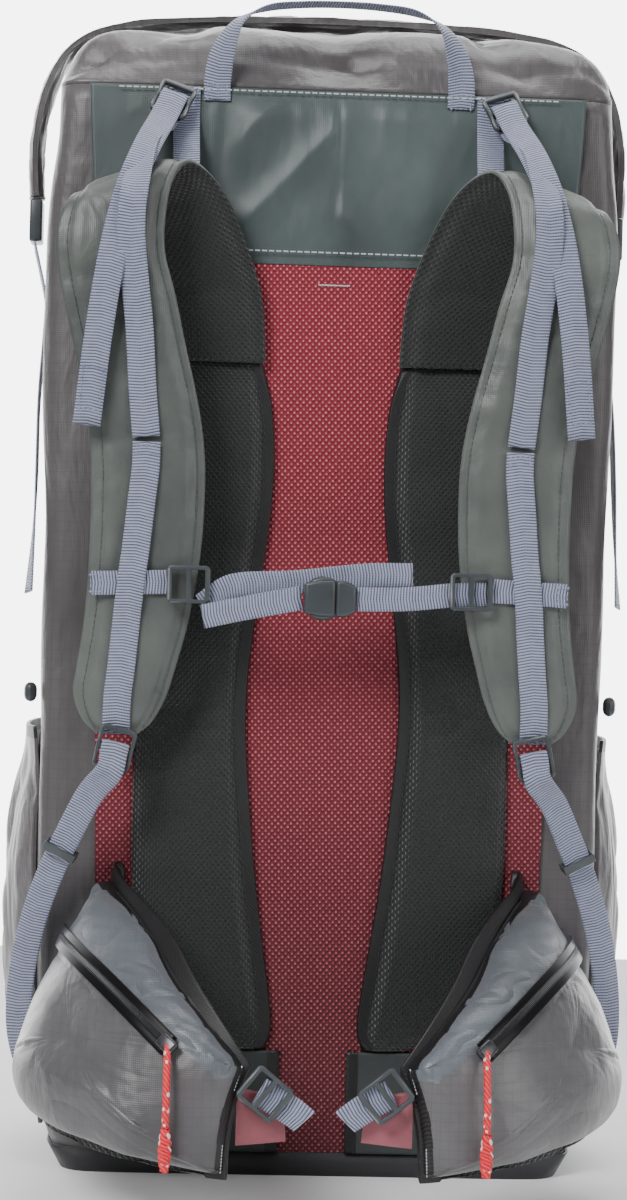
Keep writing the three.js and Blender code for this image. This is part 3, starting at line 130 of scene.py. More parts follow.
def tube(points, radius, sides=10, steps=6):
    """A closed tube along a smooth curve through the points, with u and v in metres as its UV map."""
    path = smooth_curve(np.array(points, float), steps)
    tangent = np.gradient(path, axis=0)
    tangent /= np.linalg.norm(tangent, axis=1)[:, None]
    side = np.cross(tangent, (0.31, 0.95, 0.07))
    side /= np.linalg.norm(side, axis=1)[:, None]
    up = np.cross(side, tangent)
    along = np.concatenate([[0], np.cumsum(np.linalg.norm(np.diff(path, axis=0), axis=1))])
    radii = np.full(len(path), radius) if np.isscalar(radius) else np.interp(
        np.linspace(0, 1, len(path)), np.linspace(0, 1, len(radius)), radius
    )
    rings = []
    for k in range(sides):
        angle = 2 * math.pi * k / sides
        rings.append(path + radii[:, None] * (side * math.cos(angle) + up * math.sin(angle)))
    return grid_mesh(np.array(rings).transpose(1, 0, 2), closed=True, along=along, girth=radius)


def smooth_curve(points, steps):
    """A Catmull-Rom curve through rows of numbers, with equal steps between them."""
    padded = np.vstack([2 * points[0] - points[1], points, 2 * points[-1] - points[-2]])
    t = np.linspace(0, 1, steps, endpoint=False)[:, None]
    parts = []
    for a, b, c, d in zip(padded, padded[1:], padded[2:], padded[3:]):
        parts.append(
            0.5 * (2 * b + (c - a) * t + (2 * a - 5 * b + 4 * c - d) * t**2 + (3 * b - a - 3 * c + d) * t**3)
        )
    return np.vstack([*parts, points[-1:]])


def grid_mesh(rings, closed, along=None, girth=0.01, across=None):
    """A mesh through rings of points. Closed rings are capped at both ends."""
    rows, count = rings.shape[:2]
    made = bmesh.new()
    verts = [made.verts.new(p) for p in rings.reshape(-1, 3)]
    uv = made.loops.layers.uv.new("UVMap")
    along = np.arange(rows) * 0.001 if along is None else along
    if across is None:
        turn = 2 * math.pi * (girth if np.isscalar(girth) else max(girth))
        across = np.arange(count + 1) / count * turn
    for i in range(rows - 1):
        this_ring = verts[i * count:(i + 1) * count]
        next_ring = verts[(i + 1) * count:(i + 2) * count]
        for j in range(count if closed else count - 1):
            k = (j + 1) % count
            face = made.faces.new([this_ring[j], this_ring[k], next_ring[k], next_ring[j]])
            face.smooth = True
            corners = [(j, i), (j + 1, i), (j + 1, i + 1), (j, i + 1)]
            for loop, (a, b) in zip(face.loops, corners):
                loop[uv].uv = (across[a], along[b])
    if closed:
        for row, flip in ((0, True), (rows - 1, False)):
            ring = verts[row * count : (row + 1) * count]
            hub = made.verts.new(sum((v.co for v in ring), Vector()) / count)
            for j in range(count):
                a, b = ring[j], ring[(j + 1) % count]
                face = made.faces.new([hub, b, a] if flip else [hub, a, b])
                face.smooth = True
                for loop in face.loops:
                    loop[uv].uv = (across[j], along[row])
        bmesh.ops.recalc_face_normals(made, faces=made.faces)
    return made


def place(name, made, cad_nodes, materials):
    """Turns a bmesh into a finished piece that rides on the pack and stands for its solids."""
    mesh = bpy.data.meshes.new(name)
    made.to_mesh(mesh)
    made.free()
    piece = bpy.data.objects.new(name, mesh)
    bpy.context.scene.collection.objects.link(piece)
    for material in materials:
        mesh.materials.append(material)
    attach(piece, "root")
    if cad_nodes:
        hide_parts(*cad_nodes)
    return piece


def flipped(made):
    """The same piece for the pack's left side."""
    other = made.copy()
    for vert in other.verts:
        vert.co.x = -vert.co.x
    bmesh.ops.reverse_faces(other, faces=other.faces)
    return other


def braided_cord():
    """Braided polyester: fine slanting strands 1 mm apart, with a pale tracer every few strands."""
    made, tree, shader = new_material("braided_polyester_cord")
    uv = add_node(tree, "ShaderNodeUVMap", uv_map="UVMap")
    turned = add_node(tree, "ShaderNodeMapping", {"Vector": uv.outputs["UV"], "Rotation": (0, 0, 0.7)})
    strand = add_node(tree, "ShaderNodeTexWave", {"Vector": turned.outputs["Vector"], "Scale": 160.0,
                                                  "Distortion": 1.5}, bands_direction="X")
    tracer = add_node(tree, "ShaderNodeTexVoronoi", {"Vector": uv.outputs["UV"], "Scale": 230.0})
    fleck = add_node(tree, "ShaderNodeMath", {0: tracer.outputs["Distance"], 1: 0.27}, operation="LESS_THAN")
    reds = add_node(tree, "ShaderNodeMix", {"Factor_Float": strand.outputs["Fac"],
                                            "A_Color": linear("#b3141f"),
                                            "B_Color": linear("#f0333f")}, data_type="RGBA")
    mixed = add_node(tree, "ShaderNodeMix", {"Factor_Float": fleck.outputs[0], "A_Color": reds.outputs[2],
                                             "B_Color": linear("#f6c9c9")}, data_type="RGBA")
    bump = add_node(tree, "ShaderNodeBump", {"Height": strand.outputs["Fac"], "Distance": 0.0004,
                                             "Strength": 0.7})
    tree.links.new(mixed.outputs[2], shader.inputs["Base Color"])
    tree.links.new(bump.outputs["Normal"], shader.inputs["Normal"])
    shader.inputs["Roughness"].default_value = 0.6
    return made


cord_red = braided_cord()


def cord_knot(place_at):
    """The knot: the cord's two ends wound round each other three times, with a rounded tail."""
    turns = np.linspace(0, 6 * math.pi, 40)
    drop = np.linspace(0, -KNOT_LENGTH, 40)
    swell = 0.0016 * np.sin(np.linspace(0.25, math.pi - 0.15, 40))
    whole = bmesh.new()
    for phase in (0, math.pi):
        path = np.stack([swell * np.cos(turns + phase), swell * np.sin(turns + phase), drop], axis=1)
        strand = tube(path + np.array(place_at), PULL_DIAMETER * 0.55, sides=8, steps=2)
        scratch = bpy.data.meshes.new("scratch")
        strand.to_mesh(scratch)
        strand.free()
        whole.from_mesh(scratch)
        bpy.data.meshes.remove(scratch)
    return whole


for side, sign in (("right", 1), ("left", -1)):
    path = [(x * sign, y, z) for x, y, z in PULL_PATH]
    end = Vector(path[-1])
    knot = place(f"pull_knot_{side}", cord_knot(end + Vector((0, 0, -0.0008))), [f"zip_pull_knot_{side}"],
                 [cord_red])
    pull = place(f"pull_cord_{side}", tube(path, PULL_DIAMETER / 2), [f"zip_pull_{side}"],
                 [cord_red])

# Main bag: coated ripstop nylon, thin and a little shiny, slack between its seams. The black base
# panel is a heavier coated cloth sewn round its foot, and the thin collar closes the mouth.

BACK_Y = -0.11
SHARP_EDGE = math.radians(50)


def noise(points, size, seed):
    """Smooth noise from 0 to 1 at points, with features of about the given size (one or three)."""
    table = np.random.default_rng(seed).random((24, 24, 24))
    p = np.asarray(points, float) / np.array(size)
    low = np.floor(p).astype(int)
    t = p - low
    t = t * t * (3 - 2 * t)
    total = np.zeros(len(p))
    for i in (0, 1):
        for j in (0, 1):
            for k in (0, 1):
                weight = abs(1 - i - t[:, 0]) * abs(1 - j - t[:, 1]) * abs(1 - k - t[:, 2])
                cell = (low + (i, j, k)) % 24
                total += weight * table[cell[:, 0], cell[:, 1], cell[:, 2]]
    return total


def creases(points, size, seed):
    """Sharp-topped folds from 0 to 1, as in thin coated cloth."""
    bent = points + 0.35 * np.array(size) * (noise(points, np.array(size) * 1.7, seed + 7)[:, None] - 0.5)
    ridge = 1 - np.abs(2 * noise(bent, size, seed) - 1)
    return ridge**2


def solid_copy(node, levels, keep=SHARP_EDGE):
    """The node's solid as one joined, smoothly subdivided mesh with its sharp edges kept."""
    made = bmesh.new()
    made.from_mesh(frame["nodes"][node].data)
    bmesh.ops.remove_doubles(made, verts=made.verts, dist=2e-6)
    bmesh.ops.join_triangles(
        made, faces=made.faces, angle_face_threshold=math.radians(30), angle_shape_threshold=math.radians(45)
    )
    crease = made.edges.layers.float.get("crease_edge") or made.edges.layers.float.new("crease_edge")
    for edge in made.edges:
        if edge.calc_face_angle(0) > keep:
            edge[crease] = 1
    mesh = bpy.data.meshes.new("scratch")
    made.to_mesh(mesh)
    made.free()
    holder = bpy.data.objects.new("scratch", mesh)
    bpy.context.scene.collection.objects.link(holder)
    rounder = holder.modifiers.new("rounder", "SUBSURF")
    rounder.levels = rounder.render_levels = levels
    bpy.context.view_layer.update()
    smooth = bpy.data.meshes.new_from_object(holder.evaluated_get(bpy.context.evaluated_depsgraph_get()))
    bpy.data.objects.remove(holder)
    bpy.data.meshes.remove(mesh)
    made = bmesh.new()
    made.from_mesh(smooth)
    bpy.data.meshes.remove(smooth)
    for face in made.faces:
        face.smooth = True
    return made


def points_of(made):
    """Every vertex of a bmesh, and its normal, as arrays."""
    made.verts.ensure_lookup_table()
    made.normal_update()
    return np.array([v.co for v in made.verts]), np.array([v.normal for v in made.verts])


def shift(made, offsets):
    """Moves every vertex of a bmesh by its own offset."""
    for vert, offset in zip(made.verts, offsets):
        vert.co += Vector(offset)


def outward(points, middle=(0, 0)):
    """The level direction from the bag's middle to each point."""
    away_from = points[:, :2] - np.array(middle)
    away_from /= np.maximum(np.linalg.norm(away_from, axis=1), 1e-6)[:, None]
    return np.concatenate([away_from, np.zeros((len(points), 1))], axis=1)


def coated_cloth(name, dark, light, roughness, wrinkle_mm, wrinkle_depth, grid_mm=0.0, stretch=(1, 1, 1)):
    """Thin woven nylon with a coated face: soft sheen, fine weave, and crinkles that catch the light."""
    made, tree, shader = new_material(name)
    where = add_node(tree, "ShaderNodeTexCoord").outputs["Object"]
    spread = add_node(tree, "ShaderNodeMapping", {"Vector": where, "Scale": stretch}).outputs["Vector"]
    cloud = add_node(tree, "ShaderNodeTexNoise", {"Vector": spread, "Scale": 9.0, "Detail": 6.0,
                                                  "Roughness": 0.6})
    crinkle = add_node(tree, "ShaderNodeTexNoise", {"Vector": spread, "Scale": 1000 / wrinkle_mm,
                                                    "Detail": 4.0, "Distortion": 0.3})
    ridge = add_node(tree, "ShaderNodeMapRange", {"Value": crinkle.outputs["Fac"], "From Min": 0.35,
                                                  "From Max": 0.65})
    weave_x = add_node(tree, "ShaderNodeTexWave", {"Vector": where, "Scale": 280.0}, bands_direction="X")
    weave_z = add_node(tree, "ShaderNodeTexWave", {"Vector": where, "Scale": 280.0}, bands_direction="Z")
    weave = add_node(tree, "ShaderNodeMath", {0: weave_x.outputs["Fac"], 1: weave_z.outputs["Fac"]},
                     operation="MULTIPLY")
    tone = add_node(tree, "ShaderNodeMapRange", {"Value": cloud.outputs["Fac"], "From Min": 0.3,
                                                 "From Max": 0.7})
    colour = add_node(tree, "ShaderNodeMix", {"Factor_Float": tone.outputs["Result"], "A_Color": linear(dark),
                                              "B_Color": linear(light)}, data_type="RGBA").outputs[2]
    if grid_mm:
        lines = []
        for direction in ("X", "Z"):
            band = add_node(tree, "ShaderNodeTexWave", {"Vector": where, "Scale": 1000 / grid_mm / 3.1416},
                            bands_direction=direction)
            lines.append(add_node(tree, "ShaderNodeMapRange", {"Value": band.outputs["Fac"],
                                                               "From Min": 0.93, "From Max": 1.0}))
        grid = add_node(tree, "ShaderNodeMath", {0: lines[0].outputs["Result"],
                                                 1: lines[1].outputs["Result"]}, operation="MAXIMUM")
        faint = add_node(tree, "ShaderNodeMath", {0: grid.outputs[0], 1: 0.25}, operation="MULTIPLY")
        colour = add_node(tree, "ShaderNodeMix", {"Factor_Float": faint.outputs[0], "A_Color": colour,
                                                  "B_Color": linear(dark)}, data_type="RGBA").outputs[2]
    fold = add_node(tree, "ShaderNodeBump", {"Height": ridge.outputs["Result"], "Strength": 0.6,
                                             "Distance": wrinkle_depth})
    fine = add_node(tree, "ShaderNodeBump", {"Height": weave.outputs[0], "Strength": 0.35,
                                             "Distance": 0.0002, "Normal": fold.outputs["Normal"]})
    tree.links.new(colour, shader.inputs["Base Color"])
    tree.links.new(fine.outputs["Normal"], shader.inputs["Normal"])
    shader.inputs["Roughness"].default_value = roughness
    shader.inputs["Sheen Weight"].default_value = 0.15
    return made


ripstop = coated_cloth("coated_ripstop_nylon", "#393637", "#5d595b", 0.38, 55, 0.004, grid_mm=6,
                       stretch=(1, 1, 0.45))
base_cloth = coated_cloth("woven_base_nylon", "#17171a", "#2a2a2e", 0.6, 20, 0.0006)

bag = solid_copy("bag_shell", 2)
where, _ = points_of(bag)
slack = 0.005 * creases(where, (0.05, 0.05, 0.16), 3) + 0.003 * creases(where, (0.07, 0.07, 0.05), 11)
flank = np.clip((where[:, 1] - (BACK_Y + 0.006)) / 0.03, 0, 1)
edge = np.clip((where[:, 2] - 0.03) / 0.04, 0, 1) * np.clip((0.645 - where[:, 2]) / 0.03, 0, 1)
shift(bag, -outward(where) * (slack * flank * edge)[:, None])
place("bag_cloth", bag, ["bag_shell"], [ripstop])
place("base_cloth", solid_copy("base_panel", 1), ["base_panel"], [base_cloth])

COLLAR_FOOT = 0.652
collar = solid_copy("top_collar", 2)
where, _ = points_of(collar)
slanting = where + np.outer(where[:, 2] * np.sign(where[:, 0]), (0.8, 0, 0))
deep_gathers = 0.015 * creases(slanting, (0.045, 0.08, 0.16), 21)
gathers = deep_gathers + 0.004 * creases(slanting, (0.018, 0.05, 0.08), 25)
height = np.clip((where[:, 2] - COLLAR_FOOT) / 0.02, 0, 1)
shift(collar, -outward(where) * (gathers * height)[:, None] - np.outer(gathers * height, (0, 0, 0.5)))
place("collar_cloth", collar, ["top_collar"], [ripstop])

lip = solid_copy("roll_top_lip", 3)
where, lip_face = points_of(lip)
rolled = 0.0016 * creases(where, (0.03, 0.012, 0.03), 31) + 0.0007 * creases(where, (0.01, 0.02, 0.01), 35)
shift(lip, -lip_face * rolled[:, None])
place("rolled_hem", lip, ["roll_top_lip"], [ripstop])

# Back: green-grey nylon above, puckered under the top seam, and red spacer mesh below it, which
# lets air through. Both are sewn flat to the bag, with a pale topstitch along the joint.

PANEL_FOOT = 0.5453
PANEL_TOP = 0.650
STITCH_PITCH = 0.0042

green_nylon = coated_cloth("green_grey_nylon", "#3f4442", "#5d625e", 0.42, 45, 0.002)
panel_nylon = coated_cloth("smooth_panel_nylon", "#252f30", "#4b5756", 0.46, 80, 0.003, stretch=(1, 1, 0.6))


def spacer_mesh():
    """Knitted polyester spacer mesh: raised pale dots 3.8 mm apart in staggered rows, on deep red, with
    painted shade that darkens the red and the dots towards the bottom.
    """
    made, tree, shader = new_material("red_spacer_mesh")
    where = add_node(tree, "ShaderNodeTexCoord").outputs["Object"]
    turned = add_node(tree, "ShaderNodeMapping", {"Vector": where, "Rotation": (0, math.radians(2), 0)})
    parts = add_node(tree, "ShaderNodeSeparateXYZ", {"Vector": turned.outputs["Vector"]})
    waves = []
    for axis, pitch in (("X", 0.0038), ("Z", 0.0041)):
        turns = add_node(tree, "ShaderNodeMath", {0: parts.outputs[axis], 1: 2 * math.pi / pitch},
                         operation="MULTIPLY")
        waves.append(add_node(tree, "ShaderNodeMath", {0: turns.outputs[0]}, operation="COSINE"))
    peaks = add_node(tree, "ShaderNodeMath", {0: waves[0].outputs[0], 1: waves[1].outputs[0]},
                     operation="MULTIPLY")
    uneven = add_node(tree, "ShaderNodeTexNoise", {"Vector": where, "Scale": 420.0})
    worn = add_node(tree, "ShaderNodeMath", {0: peaks.outputs[0], 1: uneven.outputs["Fac"]},
                    operation="ADD")
    dots = add_node(tree, "ShaderNodeMapRange", {"Value": worn.outputs[0], "From Min": 0.85,
                                                 "From Max": 1.45})
    # Painted shade: the red ground and its pale dots are drawn darker towards the bottom of the panel.
    painted_shade_to_foot = add_node(tree, "ShaderNodeMapRange", {"Value": parts.outputs["Z"], "From Min": 0.05,
                                                 "From Max": 0.5})
    ground = add_node(tree, "ShaderNodeMix", {"Factor_Float": painted_shade_to_foot.outputs["Result"],
                                              "A_Color": linear("#520a18"), "B_Color": linear("#7f0f24")},
                      data_type="RGBA").outputs[2]
    tips = add_node(tree, "ShaderNodeMix", {"Factor_Float": painted_shade_to_foot.outputs["Result"],
                                            "A_Color": linear("#b05a66"), "B_Color": linear("#d47e88")},
                    data_type="RGBA").outputs[2]
    colour = add_node(tree, "ShaderNodeMix", {"Factor_Float": dots.outputs["Result"], "A_Color": ground,
                                              "B_Color": tips}, data_type="RGBA").outputs[2]
    bump = add_node(tree, "ShaderNodeBump", {"Height": worn.outputs[0], "Strength": 0.8,
                                             "Distance": 0.0008})
    tree.links.new(colour, shader.inputs["Base Color"])
    tree.links.new(bump.outputs["Normal"], shader.inputs["Normal"])
    shader.inputs["Roughness"].default_value = 0.8
    shader.inputs["Sheen Weight"].default_value = 0.2
    return made


def thread():
    """Bonded polyester sewing thread, off-white, a little shiny."""
    made, tree, shader = new_material("bonded_polyester_thread")
    where = add_node(tree, "ShaderNodeTexCoord").outputs["Object"]
    twist = add_node(tree, "ShaderNodeTexWave", {"Vector": where, "Scale": 900.0}, bands_direction="DIAGONAL")
    tone = add_node(tree, "ShaderNodeMix", {"Factor_Float": twist.outputs["Fac"],
                                            "A_Color": linear("#9aa5a4"), "B_Color": linear("#d3dad8")},
                    data_type="RGBA").outputs[2]
    tree.links.new(tone, shader.inputs["Base Color"])
    shader.inputs["Roughness"].default_value = 0.5
    return made


def dark_thread():
    """The same thread in black, for seams on the webbing and binding."""
    made, tree, shader = new_material("black_polyester_thread")
    where = add_node(tree, "ShaderNodeTexCoord").outputs["Object"]
    twist = add_node(tree, "ShaderNodeTexWave", {"Vector": where, "Scale": 900.0}, bands_direction="DIAGONAL")
    tone = add_node(tree, "ShaderNodeMix", {"Factor_Float": twist.outputs["Fac"],
                                            "A_Color": linear("#17171a"), "B_Color": linear("#34343a")},
                    data_type="RGBA").outputs[2]
    tree.links.new(tone, shader.inputs["Base Color"])
    shader.inputs["Roughness"].default_value = 0.5
    return made


def stitch_tree():
    """Geometry Nodes that lay short thread stitches along a path, end to end with small gaps."""
    tree = bpy.data.node_groups.new("stitches_along_path", "GeometryNodeTree")
    tree.interface.new_socket("Path", in_out="INPUT", socket_type="NodeSocketGeometry")
    for label in ("Pitch", "Thread radius", "Stitch length"):
        tree.interface.new_socket(label, in_out="INPUT", socket_type="NodeSocketFloat")
    tree.interface.new_socket("Thread", in_out="INPUT", socket_type="NodeSocketMaterial")
    tree.interface.new_socket("Stitches", in_out="OUTPUT", socket_type="NodeSocketGeometry")
    given = add_node(tree, "NodeGroupInput")
    curve = add_node(tree, "GeometryNodeMeshToCurve", {"Mesh": given.outputs["Path"]})
    spaced = add_node(tree, "GeometryNodeCurveToPoints", {"Curve": curve.outputs["Curve"],
                                                          "Length": given.outputs["Pitch"]}, mode="LENGTH")
    stitch = add_node(tree, "GeometryNodeMeshCylinder", {"Vertices": 6,
                                                         "Radius": given.outputs["Thread radius"],
                                                         "Depth": given.outputs["Stitch length"]})
    turned = add_node(tree, "FunctionNodeAlignRotationToVector", {"Vector": spaced.outputs["Tangent"]},
                      axis="Z")
    laid = add_node(tree, "GeometryNodeInstanceOnPoints", {"Points": spaced.outputs["Points"],
                                                           "Instance": stitch.outputs["Mesh"],
                                                           "Rotation": turned.outputs["Rotation"]})
    whole = add_node(tree, "GeometryNodeRealizeInstances", {"Geometry": laid.outputs["Instances"]})
    dressed = add_node(tree, "GeometryNodeSetMaterial", {"Geometry": whole.outputs["Geometry"],
                                                         "Material": given.outputs["Thread"]})
    add_node(tree, "NodeGroupOutput", {"Stitches": dressed.outputs["Geometry"]})
    return tree


stitching = stitch_tree()
pale_thread = thread()
black_thread = dark_thread()


def sew(name, paths, material, pitch=STITCH_PITCH, radius=0.00045, length=0.003):
    """One piece of stitches along each path of points."""
    made = bmesh.new()
    for path in paths:
        verts = [made.verts.new(p) for p in path]
        for a, b in zip(verts, verts[1:]):
            made.edges.new((a, b))
    mesh = bpy.data.meshes.new(name)
    made.to_mesh(mesh)
    made.free()
    holder = bpy.data.objects.new("scratch", mesh)
    bpy.context.scene.collection.objects.link(holder)
    lay = holder.modifiers.new("stitches", "NODES")
    lay.node_group = stitching
    values = {"Pitch": pitch, "Thread radius": radius, "Stitch length": length, "Thread": material}
    for item in stitching.interface.items_tree:
        if item.name in values and item.in_out == "INPUT":
            lay[item.identifier] = values[item.name]
    bpy.context.view_layer.update()
    done = bpy.data.meshes.new_from_object(holder.evaluated_get(bpy.context.evaluated_depsgraph_get()))
    bpy.data.objects.remove(holder)
    bpy.data.meshes.remove(mesh)
    done.name = name
    piece = bpy.data.objects.new(name, done)
    bpy.context.scene.collection.objects.link(piece)
    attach(piece, "root")
    return piece


panel = solid_copy("upper_back_panel", 3)
where, _ = points_of(panel)
front_side = np.clip((-0.1108 - where[:, 1]) / 0.001, 0, 1)
from_top = np.clip((PANEL_TOP - 0.004 - where[:, 2]) / 0.012, 0, 1)
from_foot = np.clip((where[:, 2] - PANEL_FOOT - 0.012) / 0.02, 0, 1)
under_seam = np.clip(1 - (PANEL_TOP - where[:, 2]) / 0.05, 0, 1)
between_straps = np.clip((0.068 - np.abs(where[:, 0])) / 0.012, 0, 1)
puckers = 0.0022 * under_seam * creases(where * (1, 0, 1), (0.016, 1, 0.07), 41)
leaning = where[:, [0, 1, 2]] * (1, 0, 1) + np.outer(where[:, 2] * np.sign(where[:, 0]), (0.9, 0, 0))
pulls = 0.0048 * between_straps * creases(leaning, (0.045, 1, 0.2), 43)
shift(panel, np.outer(-(puckers + pulls) * front_side * from_top * from_foot, (0, 1, 0)))
place("upper_panel_cloth", panel, ["upper_back_panel"], [panel_nylon])

mesh_panel = frame["nodes"]["back_mesh_panel"]
mesh_panel.data.materials.clear()
mesh_panel.data.materials.append(spacer_mesh())

MESH_FACE = -0.1123
hem_line = [(x / 100, MESH_FACE - 0.0032, PANEL_FOOT + 0.0075) for x in range(-11, 12)]
seam_line = [(x / 100, MESH_FACE - 0.003, PANEL_TOP - 0.002) for x in range(-13, 14)]
sew("panel_topstitch", [hem_line, seam_line], pale_thread)
bar_tack = [(x / 1000, MESH_FACE - 0.0004, 0.5335 + 0.0003 * (x % 2)) for x in range(-9, 10)]
sew("panel_bar_tack", [bar_tack], pale_thread, pitch=0.0011, length=0.001)

# Back pads: contoured foam under black air mesh, lasted over the edge and bound in black tape on
# the side towards the spine. Flat dark cloth panels carry the binding on down to the base.

PAD_BACK = -0.1126
BINDING = 0.0075
BINDING_HEIGHT = 0.0042


def air_mesh(name, source, pitch, dark, light):
    """Knitted air mesh: a lattice of small open cells over foam, in black polyester, with painted highlights:
    the cell rims are drawn lighter in soft patches.
    """
    made, tree, shader = new_material(name)
    if source == "UV":
        where = add_node(tree, "ShaderNodeUVMap", uv_map="UVMap").outputs["UV"]
    else:
        where = add_node(tree, "ShaderNodeTexCoord").outputs["Object"]
    parts = add_node(tree, "ShaderNodeSeparateXYZ", {"Vector": where})
    waves = []
    for axis, length in (("X", pitch), ("Y" if source == "UV" else "Z", pitch * 1.15)):
        turns = add_node(tree, "ShaderNodeMath", {0: parts.outputs[axis], 1: 2 * math.pi / length},
                         operation="MULTIPLY")
        waves.append(add_node(tree, "ShaderNodeMath", {0: turns.outputs[0]}, operation="COSINE"))
    lattice = add_node(tree, "ShaderNodeMath", {0: waves[0].outputs[0], 1: waves[1].outputs[0]},
                       operation="MULTIPLY")
    cells = add_node(tree, "ShaderNodeMapRange", {"Value": lattice.outputs[0], "From Min": 0.6,
                                                  "From Max": -0.1})
    knit = add_node(tree, "ShaderNodeTexNoise", {"Vector": where, "Scale": 900.0})
    # Painted highlight: soft patches where the cell rims take the lighter colour.
    painted_highlight_patches = add_node(tree, "ShaderNodeTexNoise", {"Vector": where, "Scale": 22.0, "Detail": 3.0})
    tone = add_node(tree, "ShaderNodeMath", {0: cells.outputs["Result"], 1: painted_highlight_patches.outputs["Fac"]},
                    operation="MULTIPLY")
    speck = add_node(tree, "ShaderNodeMath", {0: tone.outputs[0], 1: knit.outputs["Fac"]},
                     operation="MULTIPLY")
    strength = add_node(tree, "ShaderNodeMapRange", {"Value": speck.outputs[0], "From Min": 0.0,
                                                     "From Max": 0.36})
    colour = add_node(tree, "ShaderNodeMix", {"Factor_Float": strength.outputs["Result"],
                                              "A_Color": linear(dark), "B_Color": linear(light)},
                      data_type="RGBA").outputs[2]
    bump = add_node(tree, "ShaderNodeBump", {"Height": cells.outputs["Result"], "Strength": 0.9,
                                             "Distance": 0.0009})
    tree.links.new(colour, shader.inputs["Base Color"])
    tree.links.new(bump.outputs["Normal"], shader.inputs["Normal"])
    shader.inputs["Roughness"].default_value = 0.75
    shader.inputs["Sheen Weight"].default_value = 0.25
    return made


def binding_tape():
    """Black grosgrain binding: fine ribs across the tape, slightly shiny."""
    made, tree, shader = new_material("black_grosgrain_binding")
    where = add_node(tree, "ShaderNodeTexCoord").outputs["Object"]
    ribs = add_node(tree, "ShaderNodeTexWave", {"Vector": where, "Scale": 300.0}, bands_direction="DIAGONAL")
    patch = add_node(tree, "ShaderNodeTexNoise", {"Vector": where, "Scale": 60.0})
    tone = add_node(tree, "ShaderNodeMath", {0: ribs.outputs["Fac"], 1: patch.outputs["Fac"]},
                    operation="MULTIPLY")
    colour = add_node(tree, "ShaderNodeMix", {"Factor_Float": tone.outputs[0], "A_Color": linear("#060607"),
                                              "B_Color": linear("#1d1d21")}, data_type="RGBA").outputs[2]
    bump = add_node(tree, "ShaderNodeBump", {"Height": ribs.outputs["Fac"], "Strength": 0.5,
                                             "Distance": 0.0003})
    tree.links.new(colour, shader.inputs["Base Color"])
    tree.links.new(bump.outputs["Normal"], shader.inputs["Normal"])
    shader.inputs["Roughness"].default_value = 0.45
    return made


pad_mesh = air_mesh("black_air_mesh", "Object", 0.0034, "#020303", "#171d1d")
tape = binding_tape()


def edges_at(node):
    """The inner and outer edge of a pad at each height, from its solid."""
    rows = {}
    for corner in frame["nodes"][node].data.vertices:
        rows.setdefault(round(corner.co.z, 4), []).append(corner.co.x)
    heights = sorted(rows)
    inner = [min(rows[z]) for z in heights]
    outer = [max(rows[z]) for z in heights]
    return np.array(heights), np.array(inner), np.array(outer)


def smooth_step(value, low, high):
    """From 0 at low to 1 at high, with soft ends."""
    t = np.clip((value - low) / (high - low), 0, 1)
    return t * t * (3 - 2 * t)


def use_material(made, chosen):
    """Gives each face the material index that most of its corners have."""
    for face in made.faces:
        marks = [chosen[v.index] for v in face.verts]
        face.material_index = int(max(set(marks), key=marks.count))


PAD_DOME = 0.016
OUTER_LIP = 0.004
# The crease across a pad: its height at the inner edge and its fall, as shares of the pad's length.
CREASE_HEIGHT = 0.56
CREASE_FALL = 0.11
PAD_LENGTH = 0.407
CREASE_REACH = 0.03
TOP_OVERLAP = 0.0045

heights, inner_edge, outer_edge = edges_at("back_pad_right")
pad = solid_copy("back_pad_right", 3)
where, _ = points_of(pad)
x, y, z = where.T
from_inner = x - np.interp(z, heights, inner_edge)
from_outer = np.interp(z, heights, outer_edge) - x
depth = PAD_BACK - y
dome = BINDING_HEIGHT + PAD_DOME * smooth_step(from_inner, BINDING - 0.0005, 0.02)
depth = np.minimum(depth, dome)
depth = np.minimum(depth, OUTER_LIP + PAD_DOME * smooth_step(from_outer, 0, 0.014))
up_share = (z - heights[0]) / (heights[-1] - heights[0])
across = from_inner / np.maximum(from_inner + from_outer, 1e-4)
from_crease = np.abs(up_share - (CREASE_HEIGHT - CREASE_FALL * across)) * PAD_LENGTH
near_crease = np.exp(-((from_crease / CREASE_REACH) ** 2))
crease_tugs = 0.003 * near_crease * creases(where, (0.06, 1, 0.013), 51)
tugs = crease_tugs + 0.0012 * creases(where, (0.05, 1, 0.05), 53)
depth -= tugs * smooth_step(from_inner, BINDING, 0.02) * (depth > 0.002)
shift(pad, np.outer(-(np.maximum(depth, 0) - (PAD_BACK - y)), (0, 1, 0)))
shift(pad, np.outer(TOP_OVERLAP * smooth_step(z, 0.472, 0.482), (0, 0, 1)))
use_material(pad, (from_inner < BINDING).astype(int))
left_pad = flipped(pad)
for side, made in (("right", pad), ("left", left_pad)):
    piece = place(f"back_pad_cushion_{side}", made, [f"back_pad_{side}"], [pad_mesh, tape])

dark_nylon = coated_cloth("dark_lumbar_nylon", "#1d2222", "#2f3535", 0.55, 24, 0.0006)
lumbar = solid_copy("lumbar_panel_right", 5)
where, _ = points_of(lumbar)
use_material(lumbar, (where[:, 0] < where[:, 0].min() + BINDING).astype(int))
for side, made in (("left", flipped(lumbar)), ("right", lumbar)):
    place(f"lumbar_cloth_{side}", made, [f"lumbar_panel_{side}"], [dark_nylon, tape])


def mirrored(line):
    """The same line of points on the other side."""
    return [(-x, y, z) for x, y, z in line]


stitch_face = PAD_BACK - BINDING_HEIGHT - 0.0003
seam = [(a + BINDING - 0.001, stitch_face, b) for a, b in zip(inner_edge[2:-1], heights[2:-1])]
sew("binding_stitches", [seam, mirrored(seam)], black_thread)

# Shoulder straps: foam faced with green-grey nylon outside and black air mesh inside. Each is sewn
# shut along both edges, rises from the top of its pad, bends over and comes down in front.

SEAM_IN = 0.006
SECTION_STEPS = 30


